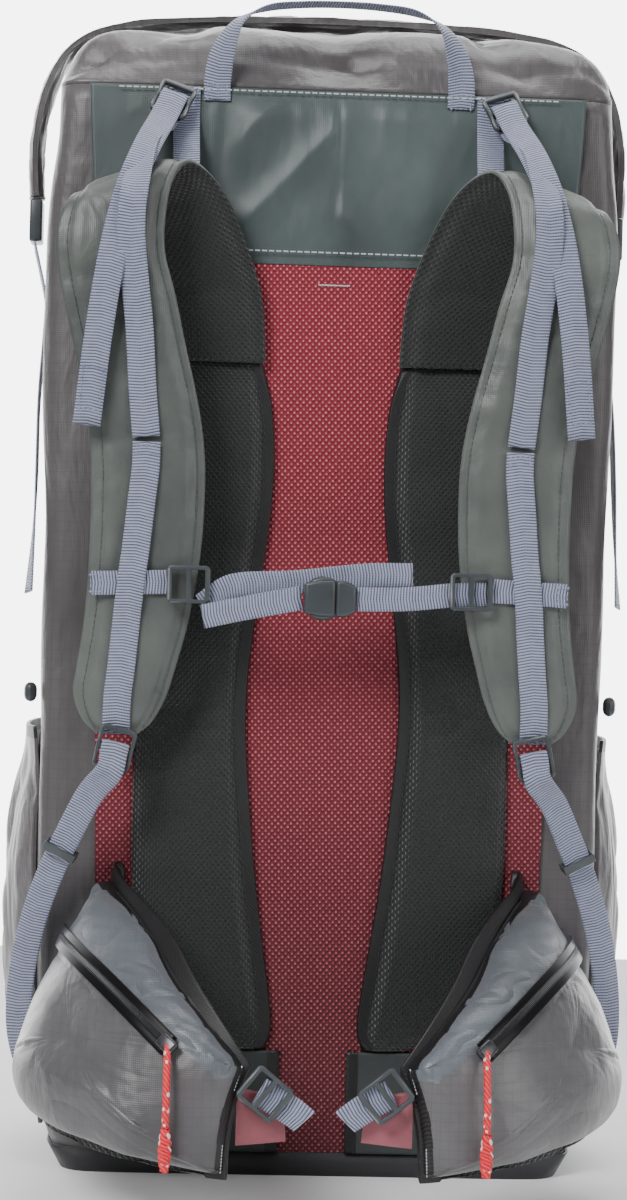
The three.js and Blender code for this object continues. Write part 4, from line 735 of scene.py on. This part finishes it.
def rings_of(node, count):
    """The rings of a lofted solid from one closed end to the other, each in turn order."""
    made = bmesh.new()
    made.from_mesh(frame["nodes"][node].data)
    bmesh.ops.remove_doubles(made, verts=made.verts, dist=2e-6)
    hub = max(made.verts, key=lambda v: (len(v.link_edges), v.co.y))
    seen = {hub}
    ring = [edge.other_vert(hub) for edge in hub.link_edges]
    rings = []
    while len(ring) == count:
        seen.update(ring)
        inside = set(ring)
        turn = [ring[0]]
        while len(turn) < count:
            turn.append(next(o for e in turn[-1].link_edges for o in [e.other_vert(turn[-1])]
                             if o in inside and o not in turn))
        rings.append(np.array([v.co for v in turn]))
        ring = list({o for v in ring for e in v.link_edges for o in [e.other_vert(v)]} - seen)
    made.free()
    matched = [rings[0]]
    for ring in rings[1:]:
        turns = [np.roll(r, k, axis=0) for r in (ring, ring[::-1]) for k in range(count)]
        matched.append(min(turns, key=lambda r: np.linalg.norm(r - matched[-1], axis=1).sum()))
    return np.array(matched)


def unit(rows):
    """Each row of an array with length 1."""
    return rows / np.linalg.norm(rows, axis=-1)[..., None]


rings = rings_of("shoulder_strap_right", 10)
if rings[0][:, 2].mean() < rings[-1][:, 2].mean():
    rings = rings[::-1]
rings = rings if rings[0][:, 1].mean() > rings[-1][:, 1].mean() else rings[::-1]
first = int(np.argmin(rings[0][:, 0]))
rings = np.roll(rings, -first, axis=1)
if rings[0][2, 1] < rings[0][8, 1]:
    rings = np.concatenate([rings[:, :1], rings[:, :0:-1]], axis=1)
middle = rings.mean(axis=1)
width = rings[:, 5] - rings[:, 0]
thick = (rings[:, 2] + rings[:, 3] - rings[:, 7] - rings[:, 8]) / 2
frames = np.concatenate([middle, width, thick], axis=1)
frames = smooth_curve(frames, 9)
middle, width, thick = frames[:, :3], frames[:, 3:6], frames[:, 6:]
half_width = np.linalg.norm(width, axis=1) / 2
half_thick = np.linalg.norm(thick, axis=1) / 2
width, thick = unit(width), unit(thick)
run = np.concatenate([[0], np.cumsum(np.linalg.norm(np.diff(middle, axis=0), axis=1))])
shares = np.linspace(-1, 1, SECTION_STEPS)
around = [(s, 1) for s in shares] + [(s, -1) for s in shares[::-1]]
strap_rings = []
cloth_uv = []
for s, n in around:
    from_edge = (1 - abs(s)) * half_width
    seam_dip = 0.16 * np.exp(-(((from_edge - SEAM_IN) / 0.0016) ** 2))
    lift = 0.2 + 0.8 * smooth_step(from_edge, -0.002, 0.015) - seam_dip
    spots = np.stack([s * half_width, run, np.full(len(run), n * 0.05)], axis=1)
    wide_folds = creases(spots, (0.07, 0.03, 1), 61) * smooth_step(from_edge, 0.004, 0.02)
    tugs = creases(spots, (0.018, 0.012, 1), 63) * np.exp(-((from_edge / 0.014) ** 2))
    sunk = 0.0018 * wide_folds + 0.0013 * tugs
    height = np.maximum(half_thick * lift - sunk, 0.0012)
    strap_rings.append(middle + width * (s * half_width)[:, None] + thick * (n * height)[:, None])
    cloth_uv.append(s * half_width.mean() + (0 if n > 0 else 0.2))
strap_rings = np.array(strap_rings).transpose(1, 0, 2)

strap_mesh = air_mesh("strap_air_mesh", "UV", 0.0036, "#020202", "#181d1c")


def strap_piece():
    """The strap's cushion. The nylon is the first material and the air mesh the second."""
    made = grid_mesh(strap_rings, closed=True, along=run, across=np.array([*cloth_uv, cloth_uv[0]]))
    made.verts.ensure_lookup_table()
    count = len(around)
    chosen = [0 if (i % count) < SECTION_STEPS else 1 for i in range(len(made.verts))]
    for i, vert in enumerate(made.verts):
        vert.index = i
    use_material(made, chosen)
    return made


def along_strap(across, start, end, lift=0.0004):
    """A line of points on the strap's outer face, from one share of its run to another."""
    rows = range(int(start * len(run)), int(end * len(run)), 4)
    k = int((across + 1) / 2 * (SECTION_STEPS - 1))
    return [tuple(strap_rings[i][k] + thick[i] * lift) for i in rows]


strap_right = strap_piece()
strap_left = flipped(strap_right)
for side, made in (("right", strap_right), ("left", strap_left)):
    piece = place(f"strap_cushion_{side}", made, [f"shoulder_strap_{side}"],
                  [green_nylon, strap_mesh])
seams = [along_strap(across, 0.28, 0.97) for across in (-0.86, 0.86)]
green_thread = coated_cloth("green_sewing_thread", "#343c3b", "#4c5553", 0.5, 20, 0.0001)
sew("strap_topstitch", [*seams, *map(mirrored, seams)], green_thread,
    pitch=0.0036, radius=0.0003, length=0.0026)

# Webbing: 16 mm ribbed polyester in pale blue-grey, with a finer rib at each selvedge. The hangers,
# load lifters, strap webbing, lower straps, haul loop and sternum strap are all cut from it.

RIB_PITCH = 0.00175
WEB = 0.016
WEB_THICK = 0.0015
STERNUM_WEB = 0.014


def ribbed_webbing(name, dark, light):
    """Ribs that run across the webbing, with dark gaps between them and a woven edge."""
    made, tree, shader = new_material(name)
    uv = add_node(tree, "ShaderNodeUVMap", uv_map="UVMap")
    parts = add_node(tree, "ShaderNodeSeparateXYZ", {"Vector": uv.outputs["UV"]})
    bend = add_node(tree, "ShaderNodeMath", {0: parts.outputs["X"]}, operation="ABSOLUTE")
    slant = add_node(tree, "ShaderNodeMath", {0: bend.outputs[0], 1: 0.12, 2: parts.outputs["Y"]},
                     operation="MULTIPLY_ADD")
    turns = add_node(tree, "ShaderNodeMath", {0: slant.outputs[0], 1: 2 * math.pi / RIB_PITCH},
                     operation="MULTIPLY")
    rib = add_node(tree, "ShaderNodeMath", {0: turns.outputs[0]}, operation="COSINE")
    warp = add_node(tree, "ShaderNodeTexWave", {"Vector": uv.outputs["UV"], "Scale": 330.0,
                                                "Distortion": 0.6}, bands_direction="X")
    shade = add_node(tree, "ShaderNodeMath", {0: warp.outputs["Fac"], 1: 0.5, 2: rib.outputs[0]},
                     operation="MULTIPLY_ADD")
    worn = add_node(tree, "ShaderNodeTexNoise", {"Vector": uv.outputs["UV"], "Scale": 130.0, "Detail": 3.0})
    mottled = add_node(tree, "ShaderNodeMath", {0: worn.outputs["Fac"], 1: 0.7, 2: shade.outputs[0]},
                       operation="MULTIPLY_ADD")
    tone = add_node(tree, "ShaderNodeMapRange", {"Value": mottled.outputs[0], "From Min": -0.45,
                                                 "From Max": 0.95})
    colour = add_node(tree, "ShaderNodeMix", {"Factor_Float": tone.outputs["Result"], "A_Color": linear(dark),
                                              "B_Color": linear(light)}, data_type="RGBA").outputs[2]
    bump = add_node(tree, "ShaderNodeBump", {"Height": shade.outputs[0], "Strength": 0.6,
                                             "Distance": 0.0004})
    tree.links.new(colour, shader.inputs["Base Color"])
    tree.links.new(bump.outputs["Normal"], shader.inputs["Normal"])
    shader.inputs["Roughness"].default_value = 0.55
    shader.inputs["Sheen Weight"].default_value = 0.2
    return made


webbing_cloth = ribbed_webbing("ribbed_polyester_webbing", "#2e3247", "#959ab2")


def band_rows(node, wide, thick):
    """The rows of a band's solid: their middles, and unit directions across and out of the face."""
    made = bmesh.new()
    made.from_mesh(frame["nodes"][node].data)
    bmesh.ops.remove_doubles(made, verts=made.verts, dist=2e-6)

    def levels(start):
        """How many edges lie between the start and every other vertex."""
        found = {start: 0}
        rim = [start]
        while rim:
            fresh = {o for v in rim for e in v.link_edges for o in [e.other_vert(v)]} - set(found)
            found.update({v: found[rim[0]] + 1 for v in fresh})
            rim = list(fresh)
        return found

    made.verts.ensure_lookup_table()
    steps = levels(made.verts[0])
    end = max(steps, key=steps.get)
    sizes = (thick, wide, math.hypot(thick, wide))
    others = [v for v in made.verts if v is not end]
    row = [end] + [min(others, key=lambda v: abs((v.co - end.co).length - size)) for size in sizes]
    rows = []
    seen = set()
    while row:
        seen.update(row)
        rows.append(np.array([v.co for v in row]))
        row = list({o for v in row for e in v.link_edges for o in [e.other_vert(v)]} - seen)
    made.free()
    matched = [rows[0]]
    for row in rows[1:]:
        orders = [row[list(order)] for order in permutations(range(4))]
        matched.append(min(orders, key=lambda r: np.linalg.norm(r - matched[-1], axis=1).sum()))
    quads = np.array(matched)
    # In each row the corners are: one, its partner through the thickness, across, and diagonal.
    middle = quads.mean(axis=1)
    out = unit(quads[:, 0] - quads[:, 1] + quads[:, 2] - quads[:, 3])
    across = unit(quads[:, 2] - quads[:, 0] + quads[:, 3] - quads[:, 1])
    return middle, across, out


def woven_band(node, wide=WEB, thick=WEB_THICK, steps=8, look_wide=None):
    """A smooth band through the rows of a solid, with rounded edges and its length as UV."""
    rows = smooth_curve(np.concatenate(band_rows(node, wide, thick), axis=1), steps)
    middle, across, out = rows[:, :3], unit(rows[:, 3:6]), unit(rows[:, 6:])
    length = np.concatenate([[0], np.cumsum(np.linalg.norm(np.diff(middle, axis=0), axis=1))])
    wide = look_wide or wide
    shares = np.array([-1, -0.97, -0.88, -0.6, -0.3, 0, 0.3, 0.6, 0.88, 0.97, 1])
    height = thick / 2 * (1 - 0.75 * np.abs(shares) ** 14)
    around = [(s, h) for s, h in zip(shares, height)] + [(s, -h) for s, h in zip(shares, height)][::-1]
    sides = [middle + across * (s * wide / 2) + out * h for s, h in around]
    spread = np.array([s * wide / 2 for s, _ in around] + [around[0][0] * wide / 2])
    return grid_mesh(np.array(sides).transpose(1, 0, 2), closed=True, along=length, across=spread)


def band_pair(node, label, wide=WEB, material=webbing_cloth, thick=WEB_THICK, look_wide=None):
    """A band on the right and its mirror image on the left."""
    right = woven_band(f"{node}_right", wide, thick, look_wide=look_wide)
    for side, made in (("left", flipped(right)), ("right", right)):
        place(f"{label}_{side}", made, [f"{node}_{side}"], [material])


for node, label in (("strap_hanger", "hanger_webbing"), ("load_lifter", "lifter_webbing"),
                    ("strap_webbing", "front_webbing"), ("lower_strap", "lower_webbing"),
                    ("belt_webbing", "belt_webbing_loop"), ("side_strap", "side_webbing")):
    band_pair(node, label)
band_pair("sternum_anchor", "sternum_anchor_webbing", wide=STERNUM_WEB)
place("haul_webbing", woven_band("haul_loop"), ["haul_loop"], [webbing_cloth])
for side in ("left", "right"):
    node = f"sternum_strap_{side}"
    place(f"sternum_webbing_{side}", woven_band(node, STERNUM_WEB), [node], [webbing_cloth])


def band_stitches(node, wide, spans, inset=0.0022):
    """Boxes of stitches on a band's outer face, over shares of its length, from its solid."""
    rows = smooth_curve(np.concatenate(band_rows(node, wide, WEB_THICK), axis=1), 12)
    middle, across, out = rows[:, :3], unit(rows[:, 3:6]), unit(rows[:, 6:])
    paths = []
    for start, end in spans:
        i, j = int(start * (len(rows) - 1)), int(end * (len(rows) - 1))
        reach = wide / 2 - inset
        for face in (-1, 1):
            lift = out * (face * (WEB_THICK / 2 + 0.0002))
            sides = [
                [tuple(middle[k] + across[k] * s * reach + lift[k]) for k in range(i, j + 1)]
                for s in (-1, 1)
            ]
            paths += [*sides, [sides[0][0], sides[1][0]], [sides[0][-1], sides[1][-1]]]
    return paths


tacks = band_stitches("haul_loop", WEB, [(0.005, 0.05), (0.95, 0.995)])
for node, wide, spans in (("sternum_anchor_right", STERNUM_WEB, [(0.02, 0.16)]),
                          ("strap_webbing_right", WEB, [(0.01, 0.05), (0.95, 0.985)]),
                          ("load_lifter_right", WEB, [(0.01, 0.035)])):
    lines = band_stitches(node, wide, spans)
    tacks += lines + [mirrored(line) for line in lines]
blue_thread = coated_cloth("blue_grey_sewing_thread", "#6f7590", "#a7abc4", 0.5, 20, 0.0001)
sew("webbing_stitches", tacks, blue_thread, pitch=0.0026, radius=0.0003, length=0.002)

# Moulded buckles: grey acetal with rounded edges. Ladder locks grip the webbing, keepers hold its
# tail, and the side-release buckle closes the sternum strap.


def moulded_acetal():
    """Grey acetal, satin, with a fine spark-eroded grain and a patchy tone."""
    made, tree, shader = new_material("grey_acetal")
    where = add_node(tree, "ShaderNodeTexCoord").outputs["Object"]
    grain = add_node(tree, "ShaderNodeTexNoise", {"Vector": where, "Scale": 1400.0, "Detail": 2.0})
    patch = add_node(tree, "ShaderNodeTexNoise", {"Vector": where, "Scale": 70.0})
    colour = add_node(tree, "ShaderNodeMix", {"Factor_Float": patch.outputs["Fac"],
                                              "A_Color": linear("#24282b"), "B_Color": linear("#43494d")},
                      data_type="RGBA").outputs[2]
    bump = add_node(tree, "ShaderNodeBump", {"Height": grain.outputs["Fac"], "Strength": 0.25,
                                             "Distance": 0.0001})
    tree.links.new(colour, shader.inputs["Base Color"])
    tree.links.new(bump.outputs["Normal"], shader.inputs["Normal"])
    shader.inputs["Roughness"].default_value = 0.38
    return made


acetal = moulded_acetal()


def rounded_copy(node, radius, segments=3):
    """The node's solid with its facets joined and its edges rounded."""
    made = bmesh.new()
    made.from_mesh(frame["nodes"][node].data)
    bmesh.ops.remove_doubles(made, verts=made.verts, dist=2e-6)
    bmesh.ops.dissolve_limit(made, angle_limit=math.radians(2), verts=made.verts, edges=made.edges)
    sharp = [e for e in made.edges if e.calc_face_angle(0) > math.radians(25)]
    bmesh.ops.bevel(made, geom=sharp, offset=radius, segments=segments, profile=0.5, affect="EDGES",
                    clamp_overlap=True)
    for face in made.faces:
        face.smooth = len(face.verts) < 5
    return made


LOCK_WIDTH = 0.022
LOCK_LENGTH = 0.025
LOCK_THICK = 0.0035
LOCK_BAR = 0.003
LOCK_WINDOW = 0.0172
LOCK_ARCH = 0.0006
LOCKS = [
    ("load_lifter_buckle", (0.0990, -0.1228, 0.6400), (-0.32, 0.5, 0.8), (-0.1, -0.85, 0.5)),
    ("adjuster_buckle", (0.1220, -0.1609, 0.2560), (-0.22, -0.05, 1), (0, -1, -0.05)),
    ("belt_buckle", (0.0328, -0.2718, 0.0781), (0.75, 0, 0.6), (0, -1, 0)),
    ("sternum_slider", (0.0820, -0.1671, 0.3520), (1, 0, 0), (0, -1, 0)),
]


def ladder_lock(at, up, face):
    """A frame with two windows and a bar between them, slightly arched, with rounded edges."""
    made = bmesh.new()
    wide, high = LOCK_WIDTH / 2, LOCK_LENGTH / 2
    columns = [-wide, -LOCK_WINDOW / 2, LOCK_WINDOW / 2, wide]
    rows = [-high, LOCK_BAR - high, -LOCK_BAR / 2, LOCK_BAR / 2, high - LOCK_BAR, high]
    verts = [[made.verts.new((x, y, LOCK_THICK / 2)) for x in columns] for y in rows]
    for j in range(len(rows) - 1):
        for i in range(len(columns) - 1):
            if i == 1 and j in (1, 3):
                continue
            made.faces.new([verts[j][i], verts[j][i + 1], verts[j + 1][i + 1], verts[j + 1][i]])
    grown = bmesh.ops.extrude_face_region(made, geom=list(made.faces))
    low = [item for item in grown["geom"] if isinstance(item, bmesh.types.BMVert)]
    bmesh.ops.translate(made, verts=low, vec=(0, 0, -LOCK_THICK))
    bmesh.ops.recalc_face_normals(made, faces=made.faces)
    corners = [e for e in made.edges if abs(e.verts[0].co.z - e.verts[1].co.z) > 0.001
               and abs(e.verts[0].co.x) > wide - 1e-5 and abs(e.verts[0].co.y) > high - 1e-5]
    bmesh.ops.bevel(made, geom=corners, offset=0.0036, segments=5, profile=0.5, affect="EDGES")
    sharp = [e for e in made.edges if e.calc_face_angle(0) > math.radians(40)]
    bmesh.ops.bevel(made, geom=sharp, offset=0.0008, segments=3, profile=0.5, affect="EDGES")
    y_way = Vector(up).normalized()
    x_way = y_way.cross(Vector(face)).normalized()
    z_way = x_way.cross(y_way)
    for vert in made.verts:
        x, y, z = vert.co
        z -= LOCK_ARCH * (y / high) ** 2
        vert.co = Vector(at) + x_way * x + y_way * y + z_way * z
    for face in made.faces:
        face.smooth = True
    return made


for node, at, up, face in LOCKS:
    lock = ladder_lock(at, up, face)
    for side, made in (("left", flipped(lock)), ("right", lock)):
        place(f"{node}_moulding_{side}", made, [f"{node}_{side}"], [acetal])
for node, radius in (("strap_keeper", 0.0004), ("side_buckle", 0.0016), ("cord_cleat", 0.0004)):
    for side in ("left", "right"):
        place(f"{node}_moulding_{side}", rounded_copy(f"{node}_{side}", radius), [f"{node}_{side}"],
              [acetal])
for node in ("sternum_buckle_socket", "sternum_buckle_plug"):
    place(f"{node}_moulding", rounded_copy(node, 0.0018, 4), [node], [acetal])

# Sternum buckle: the plug's two springy arms show as bumps along the socket's sides.

SOCKET_ARM = [(0.0050, 0.0068), (0.0010, 0.0092), (-0.0040, 0.0104), (-0.0090, 0.0096), (-0.0120, 0.0078)]
BUCKLE_MIDDLE = (-0.1696, 0.3460)
arms = bmesh.new()
for sign in (-1, 1):
    arm = tube([(x, BUCKLE_MIDDLE[0] - 0.0012, BUCKLE_MIDDLE[1] + sign * z) for x, z in SOCKET_ARM],
               [0.0014, 0.0022, 0.0024, 0.002, 0.0012])
    scratch = bpy.data.meshes.new("scratch")
    arm.to_mesh(scratch)
    arm.free()
    arms.from_mesh(scratch)
    bpy.data.meshes.remove(scratch)
place("sternum_buckle_arms", arms, [], [acetal])

# Hip belt: two padded wings in black air mesh, bound in black tape, with a ripstop pocket on each
# outer face. The pocket's zip is a coated black tape, and its cut edge is bound too.

POCKET_SILNYLON = coated_cloth("silicone_ripstop_nylon", "#3b3a3c", "#5c5a5c", 0.34, 60, 0.003, grid_mm=5)
CRINKLED_SILNYLON = coated_cloth("crinkled_silicone_nylon", "#41464b", "#5a6067", 0.36, 34, 0.0013, grid_mm=5)

BELT_TAPE = 0.011
TAPE_LIFT = 0.0006
FINE_MARGIN = 0.016
# The belt's upper edge from the back round to the front, and its front end from there down.
BELT_TOP_EDGE = [(0.1176, -0.1126, 0.185), (0.1224, -0.1142, 0.185), (0.1192, -0.1316, 0.1785),
                 (0.1024, -0.1632, 0.1684), (0.0848, -0.1979, 0.1517), (0.0752, -0.2232, 0.1369),
                 (0.064, -0.2437, 0.1221), (0.0512, -0.258, 0.1055), (0.0416, -0.2635, 0.0925)]
BELT_FRONT_EDGE = [(0.0416, -0.2635, 0.0925), (0.0512, -0.269, 0.0629), (0.0528, -0.2706, 0.0315)]


def distance_to(points, line):
    """How far each point is from a smooth line."""
    dense = smooth_curve(np.array(line), 12)
    return np.min(np.linalg.norm(points[:, None] - dense[None], axis=2), axis=1)


belt = solid_copy("hip_belt_right", 3)
where, face = points_of(belt)
to_edge = np.minimum(distance_to(where, BELT_TOP_EDGE), distance_to(where, BELT_FRONT_EDGE))
bound = to_edge < BELT_TAPE
swell = 0.0014 * ~bound * creases(where, (0.04, 0.04, 0.02), 75)
shift(belt, face * (np.where(bound, TAPE_LIFT, 0) - swell)[:, None])
use_material(belt, bound.astype(int))
for side, made in (("left", flipped(belt)), ("right", belt)):
    piece = place(f"belt_wing_{side}", made, [f"hip_belt_{side}"], [pad_mesh, tape])

pocket = solid_copy("hip_pocket_right", 3)
where, _ = points_of(pocket)
# Only the faces near the bound edge are halved once more, so the tape's edge is even.
to_tape = np.minimum(distance_to(where, BELT_TOP_EDGE), distance_to(where, BELT_FRONT_EDGE))
near_tape = to_tape < FINE_MARGIN
fine_edges = [edge for edge in pocket.edges if all(near_tape[v.index] for v in edge.verts)]
bmesh.ops.subdivide_edges(pocket, edges=fine_edges, cuts=1, use_grid_fill=True)
pocket.verts.index_update()
where, face = points_of(pocket)
ZIP_LINE = [(0.1512, -0.1437, 0.1458), (0.1478, -0.1749, 0.1465), (0.1371, -0.2060, 0.1411),
            (0.1227, -0.2314, 0.1320), (0.1047, -0.2553, 0.1187), (0.0851, -0.2740, 0.1029),
            (0.0640, -0.2860, 0.0850)]
dense_zip = smooth_curve(np.array(ZIP_LINE), 12)
nearest = np.argmin(np.linalg.norm(where[:, None] - dense_zip[None], axis=2), axis=1)
above_zip = where[:, 2] - dense_zip[nearest, 2]
crinkled = above_zip > 0.002
from_zip = np.linalg.norm(where - dense_zip[nearest], axis=1)
wide_pulls = 0.0028 * creases(where, (0.07, 0.07, 0.05), 71)
crinkles = 0.0021 * creases(where + np.outer(where[:, 2], (0.9, 0.9, 0)), (0.03, 0.03, 0.034), 73)
pulled = np.where(crinkled, crinkles, wide_pulls) * smooth_step(from_zip, 0.004, 0.016)
shift(pocket, -face * pulled[:, None])
to_tape = np.minimum(distance_to(where, BELT_TOP_EDGE) - 0.001, distance_to(where, BELT_FRONT_EDGE))
on_edge = to_tape < BELT_TAPE
use_material(pocket, np.where(on_edge, 2, np.where(crinkled, 1, 0)))
for side, made in (("left", flipped(pocket)), ("right", pocket)):
    place(f"pocket_cloth_{side}", made, [f"hip_pocket_{side}"],
          [POCKET_SILNYLON, CRINKLED_SILNYLON, tape])


def coated_zip():
    """Polyurethane-coated zip tape: satin black, with the coil showing as a ridge down its middle."""
    made, tree, shader = new_material("coated_zip_tape")
    uv = add_node(tree, "ShaderNodeUVMap", uv_map="UVMap")
    parts = add_node(tree, "ShaderNodeSeparateXYZ", {"Vector": uv.outputs["UV"]})
    off = add_node(tree, "ShaderNodeMath", {0: parts.outputs["X"]}, operation="ABSOLUTE")
    ridge = add_node(tree, "ShaderNodeMapRange", {"Value": off.outputs[0], "From Min": 0.0022,
                                                  "From Max": 0.001})
    teeth = add_node(tree, "ShaderNodeTexWave", {"Vector": uv.outputs["UV"], "Scale": 260.0},
                     bands_direction="Y")
    coil = add_node(tree, "ShaderNodeMath", {0: teeth.outputs["Fac"], 1: ridge.outputs["Result"]},
                    operation="MULTIPLY")
    height = add_node(tree, "ShaderNodeMath", {0: coil.outputs[0], 1: 0.4, 2: ridge.outputs["Result"]},
                      operation="MULTIPLY_ADD")
    colour = add_node(tree, "ShaderNodeMix", {"Factor_Float": coil.outputs[0], "A_Color": linear("#09090b"),
                                              "B_Color": linear("#24242a")}, data_type="RGBA").outputs[2]
    bump = add_node(tree, "ShaderNodeBump", {"Height": height.outputs[0], "Strength": 0.9,
                                             "Distance": 0.0007})
    tree.links.new(colour, shader.inputs["Base Color"])
    tree.links.new(bump.outputs["Normal"], shader.inputs["Normal"])
    shader.inputs["Roughness"].default_value = 0.3
    shader.inputs["Specular IOR Level"].default_value = 0.2
    return made


band_pair("hip_zip", "pocket_zip", wide=0.009, material=coated_zip(), thick=0.001,
          look_wide=0.0125)

# Sides: a slack ripstop pocket on each flank, gathered at its foot and bound in black at the hem.

side_pocket = solid_copy("side_pocket_right", 3)
where, face = points_of(side_pocket)
wide_slack = 0.003 * creases(where, (0.05, 0.03, 0.07), 81)
slack = wide_slack + 0.0018 * creases(where, (0.03, 0.014, 0.03), 83)
calm = np.clip((0.262 - where[:, 2]) / 0.02, 0, 1)
shift(side_pocket, np.outer(-slack * calm, (1, 0, 0)))
use_material(side_pocket, (where[:, 2] > 0.2555).astype(int))
for side, made in (("left", flipped(side_pocket)), ("right", side_pocket)):
    place(f"side_pocket_cloth_{side}", made, [f"side_pocket_{side}"], [ripstop, tape])

# Zip sliders: small glossy black castings on the front end of each zip, from which the red
# cords hang.

SLIDER_AT = Vector((0.0862, -0.2752, 0.1044))
SLIDER_UP = Vector((0.62, 0.55, 0.52))
SLIDER_FACE = Vector((0.30, -0.87, 0.38))


def rounded_block(at, up, face, size, radius):
    """A rounded block of the given width, length and thickness."""
    made = bmesh.new()
    bmesh.ops.create_cube(made, size=1)
    y_way = up.normalized()
    x_way = y_way.cross(face).normalized()
    z_way = x_way.cross(y_way)
    for vert in made.verts:
        vert.co = Vector([c * s for c, s in zip(vert.co, size)])
    bmesh.ops.bevel(made, geom=list(made.edges), offset=radius, segments=4, profile=0.5, affect="EDGES")
    for vert in made.verts:
        vert.co = at + x_way * vert.co.x + y_way * vert.co.y + z_way * vert.co.z
    for face in made.faces:
        face.smooth = True
    return made


def black_casting():
    """Die-cast zip slider, painted black, glossy and faintly scuffed."""
    made, tree, shader = new_material("painted_zinc_casting")
    where = add_node(tree, "ShaderNodeTexCoord").outputs["Object"]
    scuff = add_node(tree, "ShaderNodeTexNoise", {"Vector": where, "Scale": 500.0, "Detail": 3.0})
    colour = add_node(tree, "ShaderNodeMix", {"Factor_Float": scuff.outputs["Fac"],
                                              "A_Color": linear("#0c0c0e"), "B_Color": linear("#3a3a40")},
                      data_type="RGBA").outputs[2]
    tree.links.new(colour, shader.inputs["Base Color"])
    shader.inputs["Roughness"].default_value = 0.25
    return made


casting = black_casting()
slider = rounded_block(SLIDER_AT, SLIDER_UP, SLIDER_FACE, (0.0085, 0.0115, 0.0046), 0.0016)
for side, made in (("left", flipped(slider)), ("right", slider)):
    place(f"zip_slider_{side}", made, [], [casting])


# Belt ends: pale bar tacks on the binding, and a flap of salmon lining cloth behind the webbing.

FLAP_CORNERS = [(0.0205, -0.2600, 0.0505), (0.0480, -0.2640, 0.0485),
                (0.0480, -0.2640, 0.0800), (0.0225, -0.2600, 0.0745)]
FLAP_STEPS = 13
# The belt's front edge, as its place across and forward at three heights.
TACK_HEIGHTS = [0.0315, 0.0629, 0.0925]
TACK_ACROSS = [0.0560, 0.0545, 0.0455]
TACK_FORWARD = [-0.2742, -0.2738, -0.2690]
salmon = coated_cloth("salmon_lining_nylon", "#6d3339", "#93505a", 0.5, 26, 0.001)
corners = np.array(FLAP_CORNERS)
steps = np.linspace(0, 1, FLAP_STEPS)


def flap_point(u, v):
    """A point of the flap, part way across and part way up between its corners."""
    return (1 - v) * ((1 - u) * corners[0] + u * corners[1]) + v * ((1 - u) * corners[3] + u * corners[2])


front = np.array([[flap_point(u, v) for u in steps] for v in steps])
wave = 0.0012 * creases(front.reshape(-1, 3), (0.012, 1, 0.02), 91).reshape(FLAP_STEPS, FLAP_STEPS)
front[..., 1] -= wave
flap = grid_mesh(np.concatenate([front, front[::-1] + (0, 0.0008, 0), front[:1]]), closed=False)
for side, made in (("left", flipped(flap)), ("right", flap)):
    place(f"lining_flap_{side}", made, [], [salmon])

tack_lines = []
for low_z, high_z in ((0.080, 0.092), (0.036, 0.050)):
    heights = np.linspace(low_z, high_z, 5)
    line = [
        (
            float(np.interp(z, TACK_HEIGHTS, TACK_ACROSS)),
            float(np.interp(z, TACK_HEIGHTS, TACK_FORWARD)),
            float(z),
        )
        for z in heights
    ]
    tack_lines += [line, mirrored(line)]
sew("belt_end_tacks", tack_lines, pale_thread, pitch=0.0016, radius=0.00035, length=0.0012)

# Studio: a white floor and a white backdrop far behind, which the room's light stands for. A large
# lamp high on the left and a weaker one on the right light the harness with soft shadows.

FLOOR_WIDTH = 1.8
LAMPS = [
    ("key", (-1.5, -2.3, 2.2), 1.2, 105),
    ("fill", (2.1, -1.9, 1.2), 1.6, 30),
    ("top", (0.2, 0.1, 2.4), 1.2, 30),
]
ROOM_LIGHT = 0.3
BACKDROP_LIGHT = 6.5


def floor_paper():
    """White studio paper, matt, with a very faint mottle."""
    made, tree, shader = new_material("white_studio_paper")
    where = add_node(tree, "ShaderNodeTexCoord").outputs["Object"]
    mottle = add_node(tree, "ShaderNodeTexNoise", {"Vector": where, "Scale": 3.0})
    tone = add_node(tree, "ShaderNodeMix", {"Factor_Float": mottle.outputs["Fac"],
                                            "A_Color": linear("#f1f1f1"), "B_Color": linear("#f8f8f8")},
                    data_type="RGBA").outputs[2]
    tree.links.new(tone, shader.inputs["Base Color"])
    shader.inputs["Roughness"].default_value = 0.9
    return made


ground = bpy.data.meshes.new("floor")
reach = FLOOR_WIDTH / 2
ground.from_pydata([(-reach, -reach, 0), (reach, -reach, 0), (reach, reach, 0), (-reach, reach, 0)], [],
                   [(0, 1, 2, 3)])
floor = bpy.data.objects.new("floor", ground)
floor.data.materials.append(floor_paper())
bpy.context.scene.collection.objects.link(floor)
for name, where, size, power in LAMPS:
    glow = bpy.data.lights.new(name, "AREA")
    glow.size = size
    glow.energy = power
    lamp = bpy.data.objects.new(name, glow)
    lamp.location = where
    lamp.rotation_euler = (Vector((0, 0, 0.35)) - Vector(where)).to_track_quat("-Z", "Y").to_euler()
    bpy.context.scene.collection.objects.link(lamp)

room = bpy.data.worlds.new("room")
room.use_nodes = True
bpy.context.scene.world = room
bright = room.node_tree.nodes["Background"]
bright.inputs["Color"].default_value = linear("#f8f9fb")
way = add_node(room.node_tree, "ShaderNodeTexCoord").outputs["Generated"]
ways = add_node(room.node_tree, "ShaderNodeSeparateXYZ", {"Vector": way})
glow = add_node(room.node_tree, "ShaderNodeMapRange", {"Value": ways.outputs["Y"], "From Min": 0.45,
                                                       "From Max": 0.95, "To Min": ROOM_LIGHT,
                                                       "To Max": BACKDROP_LIGHT})
room.node_tree.links.new(glow.outputs["Result"], bright.inputs["Strength"])
